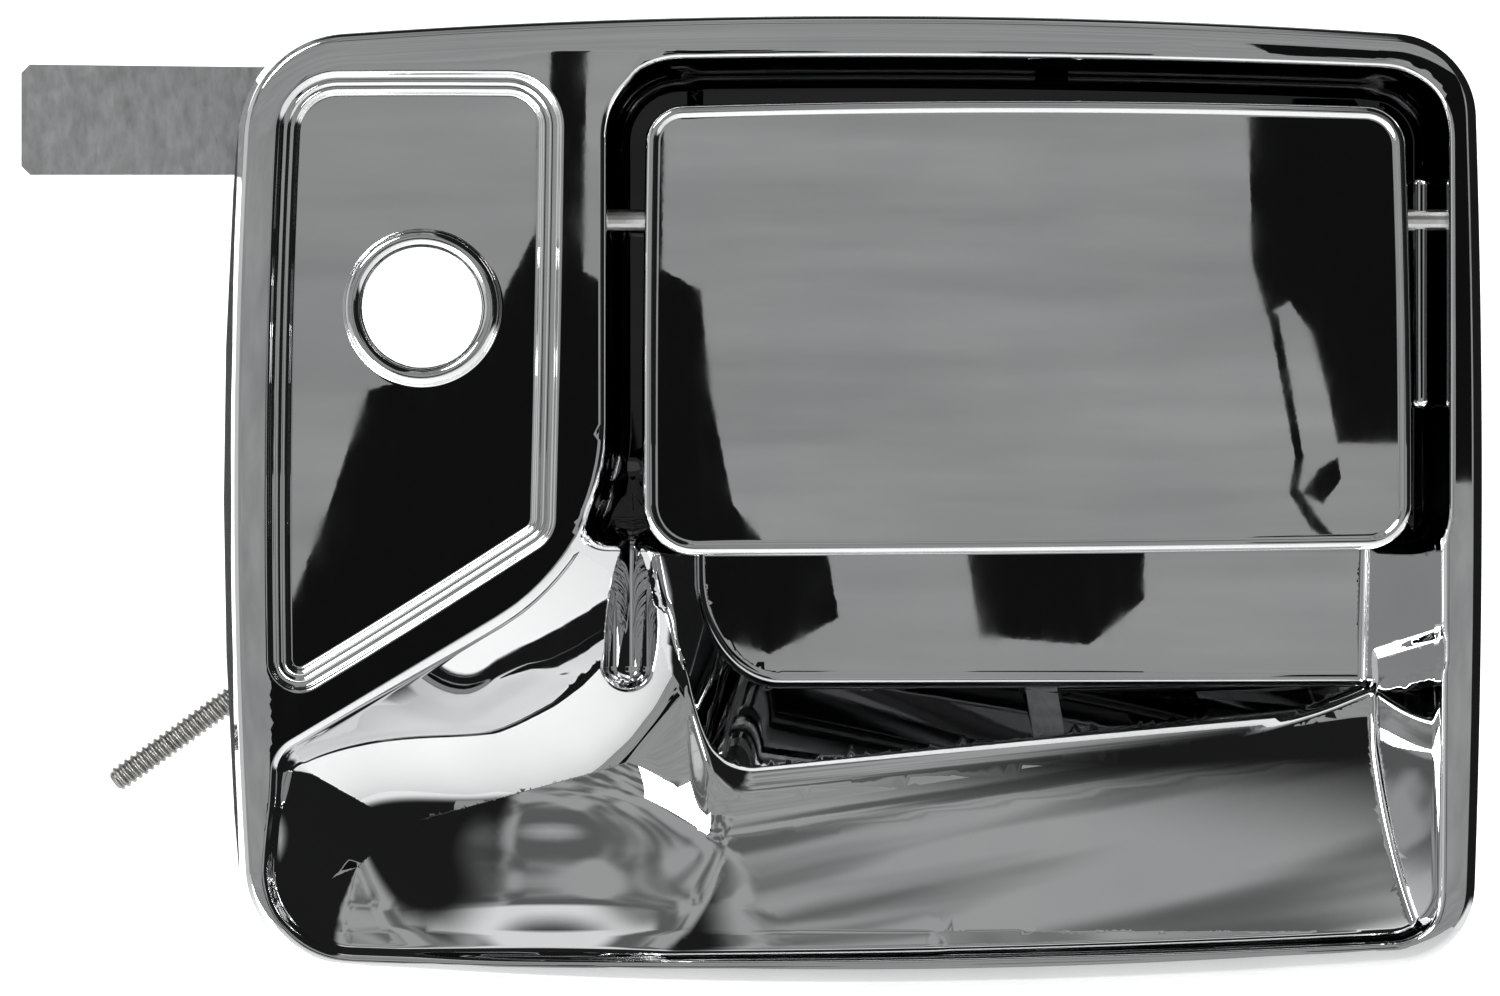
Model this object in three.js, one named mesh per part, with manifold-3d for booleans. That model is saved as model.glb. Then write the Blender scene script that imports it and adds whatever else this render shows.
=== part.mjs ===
// Exterior paddle handle for the right-hand front door of a pickup truck, as a three.js scene graph.
// A chromed escutcheon clamps to the door skin over a rubber gasket. A paddle hangs on a hinge pin in its
// pocket. Pulling the paddle swings a cam finger down behind the pocket, the finger turns a release crank, and
// the crank lifts its tongue and pushes the threaded release rod towards the latch.
//
// Millimetres. +X runs from the lock towards the hinge side of the door, +Y into the door, +Z up.
// The origin is the centre of the escutcheon, on the plane of the door skin.
import * as THREE from "three";
import { mergeVertices } from "three/addons/utils/BufferGeometryUtils.js";
import Module from "manifold-3d";

const wasm = await Module();
wasm.setup();

// ---------------------------------------------------------------- driving dimensions
const FACE = -9.5; // front face of the escutcheon
const RIM_BACK = -1.8; // rear edge of the escutcheon's rim, on the gasket
const WALL = 2.2; // casting thickness
const GAP = 0.4; // clearance between pieces that touch
const POCKET_DEPTH = 27; // paddle pocket, from the face to its floor
const FLOOR = FACE + POCKET_DEPTH; // front side of the pocket floor
const POCKET_BACK = FLOOR + WALL; // rear side of the pocket floor

// Outlines are corners of [x, z, corner radius, outward bow of the side that follows], clockwise from top left.
const RIM = [
  [-92.8, 70.2, 17, 3.2],
  [93.4, 70.4, 14, 1.2],
  [93.2, -70.2, 13.5, 3.7],
  [-92.6, -70.6, 17, 2.1],
];
const LOCK_PANEL = [
  [-86.4, 63.9, 9, 0],
  [-44.9, 63.9, 8, 0],
  [-46.2, -5.4, 5, 0],
  [-88.4, -31.7, 4, 0],
];
const POCKET = [
  [-38, 65, 11, 0.9],
  [88.2, 63.9, 10, 0],
  [88.2, -6.8, 2, 0],
  [-38, -3, 4, 0],
];
const POCKET_FLOOR = [
  [-24.5, 8, 2, 0],
  [76.5, 8, 2, 0],
  [76.5, -27.7, 3, 0],
  [-24.5, -27.7, 14, 0],
];
const PADDLE = [
  [-32.3, 59.3, 6, 0.8],
  [82.2, 59, 6.5, 0.3],
  [83, -7.6, 7, 0.2],
  [-32.7, -8.6, 8, 0.2],
];

const LOCK = { x: -65.8, z: 28.9, bore: 9, lip: 11.8, tube: 11.6, back: 12 };
const HINGE = { y: 1, z: 42.3, pin: 1.6, from: -44, to: 89.4 };
const PADDLE_FRONT = -10.5;
const PADDLE_BACK = -1;
const PADDLE_SKIN = 3;
const PLATE = { front: -6.9, back: -4.9, top: 54, bottom: 31, left: -27, right: 77 }; // carrier plate
const LUG = { thick: 4, half: 6.2 };
const FINGER = { x: 30, half: 2.5, top: 45.8, bottom: 38.5, tip: 29 };
const SHOE = { half: 3, from: 20.9, sole: 1.5 };
const SLOT = { half: 4, top: 48.4, bottom: 26 };

const CRANK = { x: -30, z: 52, front: 21, back: 25, hub: 8.5, bore: 4.7 };
const TONGUE = { end: -127.6, top: 66.4, bottom: 49.6, front: 13.5, back: 17.5, radius: 1.3 };
const JOGGLE = { from: -62, to: -90 }; // where the crank steps forward to the tongue
const ARM = { top: 36.6, bottom: 29.5, end: 35 }; // the crank's input arm, under the cam finger
const ROD = { x: -13.2, z: 28.5, y: 29, radius: 2, endX: -114.5, endZ: -43.5 };
const PIVOT = { shoulder: 3.2, head: 6.5, headFront: 31.2, headBack: 34 };

const STUDS = [
  { name: "lock_side", x: -72, z: -10, root: -5.4, seat: 0.9, end: 15 },
  { name: "pocket_side", x: 66, z: 12, root: POCKET_BACK + GAP, seat: 21.6, end: 36 },
];
const STUD = { radius: 3, collar: 5.2, collarThick: 1.2 };
const NUT = { hex: 5.77, flange: 7.2, flangeThick: 1.4, height: 6.4, bore: 3.4 };

// ---------------------------------------------------------------- solids
function solid(geometry) {
  const bare = new THREE.BufferGeometry();
  bare.setAttribute("position", geometry.getAttribute("position"));
  if (geometry.index) bare.setIndex(geometry.index);
  const merged = mergeVertices(bare, 1e-4);
  return new wasm.Manifold(
    new wasm.Mesh({
      numProp: 3,
      vertProperties: merged.attributes.position.array,
      triVerts: new Uint32Array(merged.index.array),
    }),
  );
}

function geometryOf(manifold) {
  const mesh = manifold.getMesh();
  return new THREE.BufferGeometry()
    .setAttribute("position", new THREE.BufferAttribute(mesh.vertProperties, 3))
    .setIndex(new THREE.BufferAttribute(mesh.triVerts, 1))
    .toNonIndexed();
}

const join = (first, ...others) => others.reduce((sum, next) => sum.add(next), first);
const cut = (first, ...others) => others.reduce((left, next) => left.subtract(next), first);

// The points of a rounded outline. Bowed sides are parabolas; corners are arcs.
function outline(corners, inset = 0, arcSteps = 5, bowSteps = 6) {
  const sides = [];
  corners.forEach(([x, z, , bow], i) => {
    const [nextX, nextZ] = corners[(i + 1) % corners.length];
    const steps = bow ? bowSteps : 1;
    const length = Math.hypot(nextX - x, nextZ - z);
    for (let k = 0; k < steps; k++) {
      const t = k / steps;
      const out = 4 * bow * t * (1 - t);
      sides.push({
        x: x + (nextX - x) * t - ((nextZ - z) / length) * out,
        z: z + (nextZ - z) * t + ((nextX - x) / length) * out,
        radius: k ? 0 : corners[i][2],
      });
    }
  });
  const unit = (from, to) => {
    const length = Math.hypot(to.x - from.x, to.z - from.z);
    return { x: (to.x - from.x) / length, z: (to.z - from.z) / length };
  };
  const points = [];
  sides.forEach((corner, i) => {
    const back = unit(corner, sides.at(i - 1));
    const ahead = unit(corner, sides[(i + 1) % sides.length]);
    const half = Math.acos(Math.min(1, Math.max(-1, back.x * ahead.x + back.z * ahead.z))) / 2;
    // The inward bisector, for a clockwise outline.
    const bisector = { x: back.x + ahead.x, z: back.z + ahead.z };
    const size = Math.hypot(bisector.x, bisector.z);
    const inward = size > 1e-6
      ? { x: bisector.x / size, z: bisector.z / size }
      : { x: ahead.z, z: -ahead.x };
    if (!corner.radius) {
      points.push(new THREE.Vector2(
        corner.x + (inward.x * inset) / Math.sin(half),
        corner.z + (inward.z * inset) / Math.sin(half),
      ));
      return;
    }
    const reach = corner.radius / Math.sin(half);
    const centre = { x: corner.x + inward.x * reach, z: corner.z + inward.z * reach };
    const radius = Math.max(0.2, corner.radius - inset);
    const start = Math.atan2(back.x, -back.z);
    const sweep = Math.PI - 2 * half;
    for (let k = 0; k <= arcSteps; k++) {
      const angle = start - (sweep * k) / arcSteps;
      points.push(new THREE.Vector2(
        centre.x - Math.cos(angle) * radius,
        centre.z - Math.sin(angle) * radius,
      ));
    }
  });
  return points;
}

// A solid through rings of points, each ring at its own y. All rings have the same number of points.
function loft(rings) {
  const count = rings[0].points.length;
  const turned = THREE.ShapeUtils.isClockWise(rings[0].points)
    ? rings.map(({ points, y }) => ({ points: points.slice().reverse(), y }))
    : rings;
  const positions = turned.flatMap(({ points, y }) => points.flatMap((p) => [p.x, y, p.y]));
  const faces = [];
  for (let r = 0; r + 1 < rings.length; r++) {
    for (let i = 0; i < count; i++) {
      const a = r * count + i;
      const b = r * count + ((i + 1) % count);
      faces.push(a, a + count, b, b, a + count, b + count);
    }
  }
  const last = (rings.length - 1) * count;
  THREE.ShapeUtils.triangulateShape(turned[0].points, []).forEach(([a, b, c]) => faces.push(a, b, c));
  THREE.ShapeUtils.triangulateShape(turned.at(-1).points, []).forEach(([a, b, c]) => {
    faces.push(last + a, last + c, last + b);
  });
  const geometry = new THREE.BufferGeometry()
    .setAttribute("position", new THREE.Float32BufferAttribute(positions, 3))
    .setIndex(faces);
  return outward(geometry);
}

// The geometry as a solid, turned right side out when its rings ran the other way.
function outward(geometry) {
  const made = solid(geometry);
  return made.volume() > 0 ? made : solid(flipped(geometry));
}

function flipped(geometry) {
  const indexed = geometry.index ? geometry : mergeVertices(geometry);
  const index = Array.from(indexed.index.array);
  for (let i = 0; i < index.length; i += 3) [index[i], index[i + 1]] = [index[i + 1], index[i]];
  return indexed.clone().setIndex(index);
}

// A plate: points in X and Z, from y = front to y = back.
function plate(points, front, back, holes = []) {
  const shape = new THREE.Shape(points);
  shape.holes = holes.map((hole) => new THREE.Path(hole));
  const geometry = new THREE.ExtrudeGeometry(shape, { depth: back - front, bevelEnabled: false });
  return solid(geometry.rotateX(Math.PI / 2).translate(0, back, 0));
}

// A plate across X: points in Y and Z, from x = left to x = right.
function plateX(points, left, right) {
  const shape = new THREE.Shape(points.map(([y, z]) => new THREE.Vector2(y, z)));
  const geometry = new THREE.ExtrudeGeometry(shape, { depth: right - left, bevelEnabled: false });
  const turn = new THREE.Matrix4().set(0, 0, 1, left, 1, 0, 0, 0, 0, 1, 0, 0, 0, 0, 0, 1);
  return outward(geometry.applyMatrix4(turn));
}

function circle(x, z, radius, steps = 24) {
  return Array.from({ length: steps }, (_, i) => {
    const angle = (i / steps) * 2 * Math.PI;
    return new THREE.Vector2(x + radius * Math.cos(angle), z + radius * Math.sin(angle));
  });
}

const box = (x0, x1, y0, y1, z0, z1) =>
  solid(new THREE.BoxGeometry(x1 - x0, y1 - y0, z1 - z0)
    .translate((x0 + x1) / 2, (y0 + y1) / 2, (z0 + z1) / 2));

const rodY = (x, z, radius, front, back, sides = 20) =>
  solid(new THREE.CylinderGeometry(radius, radius, back - front, sides)
    .translate(x, (front + back) / 2, z));

const rodX = (y, z, radius, left, right, sides = 20) =>
  solid(new THREE.CylinderGeometry(radius, radius, right - left, sides)
    .rotateZ(Math.PI / 2).translate((left + right) / 2, y, z));

// A solid of revolution about a line along Y through (x, z); the profile is [radius, y] pairs.
function turned(x, z, profile, sides = 24) {
  const points = profile.map(([radius, y]) => new THREE.Vector2(radius, y));
  return outward(new THREE.LatheGeometry(points, sides).translate(x, 0, z));
}

class Helix extends THREE.Curve {
  constructor(radius, pitch, turns, place) {
    super();
    Object.assign(this, { radius, pitch, turns, place });
  }
  getPoint(t, target = new THREE.Vector3()) {
    const angle = t * this.turns * 2 * Math.PI;
    const along = t * this.turns * this.pitch;
    return target.copy(this.place(this.radius * Math.cos(angle), this.radius * Math.sin(angle), along));
  }
}

function wire(path, radius, steps, sides = 6) {
  const section = new THREE.Shape(circle(0, 0, radius, sides));
  return outward(new THREE.ExtrudeGeometry(section, { steps, extrudePath: path, bevelEnabled: false }));
}

// ---------------------------------------------------------------- the scooped recess
const softMin = (a, b, k) => {
  const h = Math.max(k - Math.abs(a - b), 0) / k;
  return Math.min(a, b) - (h * h * k) / 4;
};
const softMax = (a, b, k) => -softMin(-a, -b, k);

// Depth of the finger scoop below the face. grow moves every wall outward, for the outside of the casting.
function scoopDepth(x, z, grow = 0) {
  const ramp = 6 + (0.375 + (x + 14) * 0.0026) * (z + 65) + 1.15 * grow;
  const right = 2.7 * (88 - x + grow);
  const bottom = 2.7 * (z + 68.2 + grow);
  const left = 1.3 * (x + 88.4 + grow);
  const slope = Math.hypot(1, 0.6);
  const underPanel = 0.85 * ((-8 + 0.6 * (x + 38) - z) / slope + grow);
  const besidePocket = 1.6 * (x + 38 + grow);
  const top = 1.2 * (4 - z + grow);
  const wall = softMax(underPanel, besidePocket, 9);
  const rightBottom = softMin(right, bottom, 3);
  return [wall, left, ramp, top].reduce((depth, next) => softMin(depth, next, 6), rightBottom);
}

// The space between y = front and the scoop's surface, as a closed grid.
function scoop(front, grow) {
  const xs = [-92, -88, -83, -76, -66, -56, -47, -41, -37, -33, -29, -22, -14, 0, 20, 40, 60, 76, 81, 85, 89, 91];
  const zs = [-71, -68, -65.5, -62, -56, -48, -40, -33, -26, -18, -10, -3, 3, 7];
  const positions = [];
  for (const depth of [() => front, (x, z) => Math.max(front + 0.05, FACE + scoopDepth(x, z, grow))]) {
    for (const z of zs) for (const x of xs) positions.push(x, depth(x, z), z);
  }
  const wide = xs.length;
  const layer = wide * zs.length;
  const faces = [];
  for (let j = 0; j + 1 < zs.length; j++) {
    for (let i = 0; i + 1 < wide; i++) {
      const a = j * wide + i;
      faces.push(a, a + 1, a + wide, a + 1, a + wide + 1, a + wide);
      const b = a + layer;
      faces.push(b, b + wide, b + 1, b + 1, b + wide, b + wide + 1);
    }
  }
  const side = (a, b) => faces.push(a, a + layer, b, b, a + layer, b + layer);
  for (let i = 0; i + 1 < wide; i++) {
    side(i, i + 1);
    side(layer - wide + i + 1, layer - wide + i);
  }
  for (let j = 0; j + 1 < zs.length; j++) {
    side((j + 1) * wide, j * wide);
    side(j * wide + wide - 1, (j + 1) * wide + wide - 1);
  }
  const geometry = new THREE.BufferGeometry()
    .setAttribute("position", new THREE.Float32BufferAttribute(positions, 3))
    .setIndex(faces);
  return outward(geometry);
}

// The deep pocket behind the paddle, grown outward for the outside of the casting.
function pocket(front, grow) {
  const floor = FLOOR + grow;
  return loft([
    { points: outline(POCKET, -grow), y: front },
    { points: outline(POCKET, 0.5 - grow), y: FACE + 2 },
    { points: outline(POCKET, 1.6 - grow), y: floor },
  ]);
}

// The pocket's lower part, whose walls slope out to the scoop: 25 degrees at the left, 45 below, 20 at the right.
function lowerPocket(front, grow) {
  const floor = outline(POCKET_FLOOR, -grow);
  const rise = FLOOR - FACE;
  const mouth = floor.map((p) => {
    const fromTop = THREE.MathUtils.clamp((8 - p.y) / 35.7, 0, 1);
    const across = THREE.MathUtils.clamp((p.x + 24.5) / 101, 0, 1);
    return new THREE.Vector2(
      p.x + THREE.MathUtils.lerp(-0.466, 0.37, across) * rise,
      p.y - fromTop * fromTop * rise,
    );
  });
  const share = (front - FACE) / rise;
  const frontRing = floor.map((p, i) => new THREE.Vector2().lerpVectors(mouth[i], p, share));
  return loft([
    { points: frontRing, y: front },
    { points: floor, y: FLOOR + grow },
  ]);
}

// ---------------------------------------------------------------- escutcheon
function escutcheon() {
  const rim = loft([
    { points: outline(RIM), y: RIM_BACK },
    { points: outline(RIM, 1.4), y: FACE + 1 },
    { points: outline(RIM, 2.4), y: FACE },
  ]);
  const hollow = loft([
    { points: outline(RIM, 3.6), y: RIM_BACK + 1 },
    { points: outline(RIM, 4.4), y: FACE + WALL + 1 },
  ]);
  const backing = join(
    pocket(FACE + 1, WALL),
    lowerPocket(FACE + 1.2, WALL),
    scoop(FACE + 1, WALL).intersect(plate(outline(RIM, 2.6), FACE, 30)),
    rodY(LOCK.x, LOCK.z, LOCK.tube, FACE + 2, LOCK.back, 28),
    rodX(HINGE.y, HINGE.z, 4.6, -43, -37),
    ...STUDS.map((s) => rodY(s.x, s.z, STUD.collar + 1, s.root - 2.6, s.root - GAP)),
    rodY(CRANK.x, CRANK.z, 8, FLOOR + 1, CRANK.front - GAP),
    box(-18.5, -15.5, FLOOR + 1, 30, 56, 59), // post for the crank spring
  );
  const panelStep = join(
    loft([
      { points: outline(LOCK_PANEL), y: FACE - 1 },
      { points: outline(LOCK_PANEL), y: FACE },
      { points: outline(LOCK_PANEL, 1.2), y: FACE + 1 },
    ]),
    loft([
      { points: outline(LOCK_PANEL, 2.8), y: FACE },
      { points: outline(LOCK_PANEL, 3.6), y: FACE + 1.7 },
    ]),
  );
  const lockLip = turned(LOCK.x, LOCK.z, [
    [0, FACE + 3], [LOCK.lip + 0.6, FACE + 3], [LOCK.lip + 0.6, FACE + 1.6], [LOCK.lip - 0.6, FACE + 0.9],
    [LOCK.bore + 1, FACE + 0.8], [0, FACE + 0.8],
  ], 28);
  const cavity = join(
    pocket(FACE - 1, 0),
    lowerPocket(FACE - 0.2, 0),
    scoop(FACE - 1, 0),
  );
  const tub = cut(
    join(cut(rim, hollow), backing),
    cavity,
    panelStep,
  );
  return cut(
    join(tub, lockLip),
    rodY(LOCK.x, LOCK.z, LOCK.bore, FACE - 1, LOCK.back + 1, 48),
    box(LOCK.x - 20, LOCK.x + 20, 5, 7.4, LOCK.z + 7, LOCK.z + 9.6), // retaining clip slot
    box(FINGER.x - SLOT.half, FINGER.x + SLOT.half, FLOOR - 1, POCKET_BACK + 1, SLOT.bottom, SLOT.top),
    rodX(HINGE.y, HINGE.z, HINGE.pin + 0.3, HINGE.from - 1, HINGE.to + 0.4),
    rodY(CRANK.x, CRANK.z, PIVOT.shoulder + 0.3, FLOOR + 0.6, 40),
  );
}

function gasket() {
  const bulged = RIM.map(([x, z, radius, bow], i) => [x, z, radius, bow + (i === 3 ? 1.3 : i === 0 ? 0.4 : 0)]);
  return plate(outline(bulged, 0.2), RIM_BACK + 0.3, 0, [outline(RIM, 3.3).reverse()]);
}

// ---------------------------------------------------------------- fixings
function stud({ x, z, root, end }) {
  return turned(x, z, [
    [0, root], [STUD.collar, root], [STUD.collar, root + STUD.collarThick], [STUD.radius, root + STUD.collarThick],
    [STUD.radius, end - 1], [STUD.radius - 0.9, end], [0, end],
  ], 36);
}

function flangeNut({ x, z, seat }) {
  const hex = plate(circle(x, z, NUT.hex, 6), seat + NUT.flangeThick - 0.1, seat + NUT.height);
  const flange = rodY(x, z, NUT.flange, seat, seat + NUT.flangeThick, 18);
  return cut(join(hex, flange), rodY(x, z, NUT.bore, seat - 1, seat + NUT.height + 1, 24));
}

function pivotBolt() {
  return turned(CRANK.x, CRANK.z, [
    [0, FLOOR + 1], [PIVOT.shoulder, FLOOR + 1], [PIVOT.shoulder, PIVOT.headFront],
    [PIVOT.head, PIVOT.headFront], [PIVOT.head, PIVOT.headBack - 0.8], [PIVOT.head - 0.8, PIVOT.headBack],
    [0, PIVOT.headBack],
  ], 20);
}

function ring(x, z, inner, outer, front, back, sides = 20) {
  return plate(circle(x, z, outer, sides), front, back, [circle(x, z, inner, sides).reverse()]);
}

function hingePin() {
  return join(
    rodX(HINGE.y, HINGE.z, HINGE.pin, HINGE.from, HINGE.to, 16),
    rodX(HINGE.y, HINGE.z, 3, HINGE.from - 1.5, HINGE.from + 0.1, 16),
  );
}

// A flanged sleeve on the hinge line, from x = from to x = to, with its flange at the from end.
function bush(from, to, inner, outer, flange, flangeThick) {
  const toward = Math.sign(to - from);
  const span = (a, b, radius) => rodX(HINGE.y, HINGE.z, radius, Math.min(a, b), Math.max(a, b));
  return cut(
    join(span(from, to, outer), span(from, from + toward * flangeThick, flange)),
    span(from - toward, to + toward, inner),
  );
}

// ---------------------------------------------------------------- paddle
function paddle() {
  const skin = loft([
    { points: outline(PADDLE, 0.6), y: PADDLE_BACK },
    { points: outline(PADDLE), y: PADDLE_FRONT + 1.6 },
    { points: outline(PADDLE, 0.5), y: PADDLE_FRONT + 0.4 },
    { points: outline(PADDLE, 1.6), y: PADDLE_FRONT },
  ]);
  const hollow = loft([
    { points: outline(PADDLE, 3.2), y: PADDLE_BACK + 1 },
    { points: outline(PADDLE, 3.6), y: PADDLE_FRONT + PADDLE_SKIN },
  ]);
  const bosses = SCREW_X.map((x) => rodY(x, SCREW_Z, 4, PADDLE_FRONT + 1, PLATE.front - GAP));
  const holes = SCREW_X.map((x) => rodY(x, SCREW_Z, 1.7, PADDLE_FRONT + 1.6, PLATE.front + 1, 12));
  return cut(join(cut(skin, hollow), ...bosses), ...holes);
}

const SCREW_X = [-10, 60];
const SCREW_Z = 50;

// The inner carrier: a plate with two hinge lugs, a hub and the cam finger.
function carrier() {
  const lugAt = (left) => join(
    box(left, left + LUG.thick, PLATE.front, HINGE.y, HINGE.z - LUG.half, HINGE.z + LUG.half),
    rodX(HINGE.y, HINGE.z, LUG.half - 0.6, left, left + LUG.thick),
  );
  const finger = plateX(
    [[PLATE.front, 47.5], [4, 47.5], [10, FINGER.top], [FINGER.tip, FINGER.top - 2],
      [FINGER.tip, FINGER.bottom], [10, FINGER.bottom], [2, 35.5], [PLATE.front, 35.5]],
    FINGER.x - FINGER.half,
    FINGER.x + FINGER.half,
  );
  const whole = join(
    box(PLATE.left, PLATE.right, PLATE.front, PLATE.back, PLATE.bottom, PLATE.top),
    lugAt(PLATE.left),
    lugAt(PLATE.right - LUG.thick),
    finger,
  );
  return cut(
    whole,
    rodX(HINGE.y, HINGE.z, 3.4, PLATE.left - 1, PLATE.left + LUG.thick + 1),
    rodX(HINGE.y, HINGE.z, 3.4, PLATE.right - LUG.thick - 1, PLATE.right + 1),
    rodX(HINGE.y, HINGE.z, HINGE.pin + 0.4, 20, 40),
    ...SCREW_X.map((x) => rodY(x, SCREW_Z, 2, PLATE.front - 1, PLATE.back + 1, 12)),
  );
}

function carrierScrew(x) {
  const headFront = PLATE.back + 0.3;
  return turned(x, SCREW_Z, [
    [0, PADDLE_FRONT + 2.4], [1.4, PADDLE_FRONT + 2.4], [1.4, headFront], [3.4, headFront],
    [3.2, headFront + 1.2], [2, headFront + 1.9], [0, headFront + 1.9],
  ], 12);
}

// A nylon shoe on the end of the cam finger, open on the side that slips over it.
function camShoe() {
  const { x, half, top, bottom, tip } = { ...FINGER };
  return cut(
    box(x - half - SHOE.sole + 0.4, x + half + SHOE.sole - 0.4, SHOE.from, tip + 1.5, bottom - SHOE.sole, top - 3.4),
    box(x - half - 0.3, x + half + 0.3, SHOE.from - 1, tip + 0.3, bottom - 0.3, top + 2),
  );
}

function paddleSpring() {
  const place = (a, b, along) => new THREE.Vector3(44 + along, HINGE.y + a, HINGE.z + b);
  return wire(new Helix(4.4, 1.9, 6, place), 0.75, 72);
}

function stopBumper() {
  return box(FINGER.x - 3.4, FINGER.x + 3.4, FLOOR - 0.6, POCKET_BACK + 0.6, FINGER.top - 0.4, SLOT.top - 0.3);
}

// ---------------------------------------------------------------- release crank and rod
// The crank's shape seen from the front, cut from two levels with a sloping step between them.
function crank() {
  const points = [
    [TONGUE.end + TONGUE.radius, TONGUE.top], [-90, 66], [-62, 64.5], [-34, 61.5],
    [-25, 60.5], [-20.5, 56], [-18, 47], [-8, 38], [2, ARM.top], [ARM.end - 1, ARM.top], [ARM.end, ARM.top - 1],
    [ARM.end, ARM.bottom + 1], [ARM.end - 1, ARM.bottom], [-5, ARM.bottom - 1], [-7.5, 25], [-11, 22.3], [-15.4, 22.3],
    [-19, 25], [-20, 30], [-26, 38], [-36, 43.5], [-50, 47.5], [-62, 49], [-90, 49.6],
    [TONGUE.end + TONGUE.radius, TONGUE.bottom], [TONGUE.end, TONGUE.bottom + TONGUE.radius],
    [TONGUE.end, TONGUE.top - TONGUE.radius],
  ].map(([x, z]) => new THREE.Vector2(x, z));
  const profile = plate(points, 10, 30);
  const step = [
    [40, CRANK.front], [JOGGLE.from, CRANK.front], [JOGGLE.to, TONGUE.front], [-130, TONGUE.front],
    [-130, TONGUE.back], [JOGGLE.to - 1.5, TONGUE.back], [JOGGLE.from - 1.5, CRANK.back], [40, CRANK.back],
  ].map(([x, y]) => new THREE.Vector2(x, y));
  const levels = solid(new THREE.ExtrudeGeometry(new THREE.Shape(step), { depth: 60, bevelEnabled: false })
    .translate(0, 0, 15));
  return cut(
    profile.intersect(levels),
    rodY(CRANK.x, CRANK.z, CRANK.bore, 15, 40),
    rodY(ROD.x, ROD.z, ROD.radius + 0.35, 15, 40, 16),
  );
}

function crankSpring() {
  const place = (a, b, along) => new THREE.Vector3(CRANK.x + a, CRANK.back + 1 + along, CRANK.z + b);
  return wire(new Helix(5.6, 1.45, 2.5, place), 0.65, 40);
}

function releaseRod() {
  const bend = 4;
  const corner = new THREE.Vector3(ROD.x, ROD.y, ROD.z);
  const far = new THREE.Vector3(ROD.endX, ROD.y, ROD.endZ);
  const along = far.clone().sub(corner).normalize();
  const path = new THREE.CurvePath();
  const start = new THREE.Vector3(ROD.x, CRANK.front - 0.1, ROD.z);
  const bendStart = new THREE.Vector3(ROD.x, ROD.y - bend, ROD.z);
  const bendEnd = corner.clone().addScaledVector(along, bend);
  path.add(new THREE.LineCurve3(start, bendStart));
  path.add(new THREE.QuadraticBezierCurve3(bendStart, corner, bendEnd));
  path.add(new THREE.LineCurve3(bendEnd, far));
  return wire(path, ROD.radius, 30, 28);
}

// A nylon swing clip: a disc round the rod's hook and an arm that snaps over the rod.
function rodClip() {
  const length = 15;
  const angle = Math.atan2(ROD.endZ - ROD.z, ROD.endX - ROD.x);
  const local = join(
    rodY(0, 0, 4.6, CRANK.back + 0.4, CRANK.back + 1.3),
    box(-3, length, CRANK.back + 0.4, CRANK.back + 1.3, 2.6, 4.4),
    box(length - 5, length, CRANK.back + 0.4, ROD.y + 1.4, 2.4, 4.4),
    box(length - 5, length, CRANK.back + 0.4, CRANK.back + 1.3, -4, 4.4),
    box(length - 5, length, CRANK.back + 0.4, ROD.y + 1, -4, -2.4),
  );
  const bored = cut(local, rodY(0, 0, ROD.radius + 0.6, 15, 40, 20));
  const placed = geometryOf(bored).rotateY(-angle).translate(ROD.x, 0, ROD.z);
  return solid(placed);
}

// ---------------------------------------------------------------- materials and assembly
const finish = (color, metalness, roughness) => new THREE.MeshStandardMaterial({ color, metalness, roughness });
const chrome = finish(0xd8dadc, 1, 0.06);
const zinc = finish(0x8f9194, 0.9, 0.45);
const steel = finish(0xb4b6b8, 0.9, 0.35);
const blackRubber = finish(0x18191a, 0, 0.85);
const nylon = finish(0xdedbcf, 0, 0.5);
const springSteel = finish(0x6e7073, 0.9, 0.4);

const handle = new THREE.Group();
function add(name, manifold, material) {
  const mesh = new THREE.Mesh(geometryOf(manifold), material);
  mesh.name = name;
  handle.add(mesh);
}

add("escutcheon", escutcheon(), chrome);
add("gasket", gasket(), blackRubber);
add("hinge_pin", hingePin(), steel);
for (const place of STUDS) {
  add(`stud_${place.name}`, stud(place), steel);
  add(`nut_${place.name}`, flangeNut(place), steel);
}
add("pivot_bolt", pivotBolt(), steel);
add("pivot_washer", ring(CRANK.x, CRANK.z, PIVOT.shoulder + GAP, 8, CRANK.back + 5.4, PIVOT.headFront - 0.3), steel);
add("crank_spring", crankSpring(), springSteel);
add("stop_bumper", stopBumper(), blackRubber);

add("paddle", paddle(), chrome);
add("paddle_carrier", carrier(), zinc);
SCREW_X.forEach((x, i) => add(`carrier_screw_${i ? "right" : "left"}`, carrierScrew(x), steel));
const leftLug = PLATE.left;
const rightLug = PLATE.right - LUG.thick;
add("hinge_bush_left", bush(leftLug - 1.4, leftLug + 4, 1.95, 3, 4.4, 1), nylon);
add("hinge_bush_right", bush(rightLug + 5.4, rightLug, 1.95, 3, 4.4, 1), nylon);
add("cam_shoe", camShoe(), nylon);
add("paddle_spring", paddleSpring(), springSteel);

add("crank", crank(), zinc);
add("crank_bush", ring(CRANK.x, CRANK.z, PIVOT.shoulder + GAP, CRANK.bore - 0.3, CRANK.front, CRANK.back), nylon);
add("release_rod", releaseRod(), steel);
add("rod_clip", rodClip(), nylon);

export default handle;
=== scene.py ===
"""A chromed paddle door handle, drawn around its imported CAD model.

Shapes are worked out in millimetres and placed in metres. +X runs along the door, +Y into it, +Z up, and the
origin is the centre of the escutcheon on the plane of the door skin.
"""
import math

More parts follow.
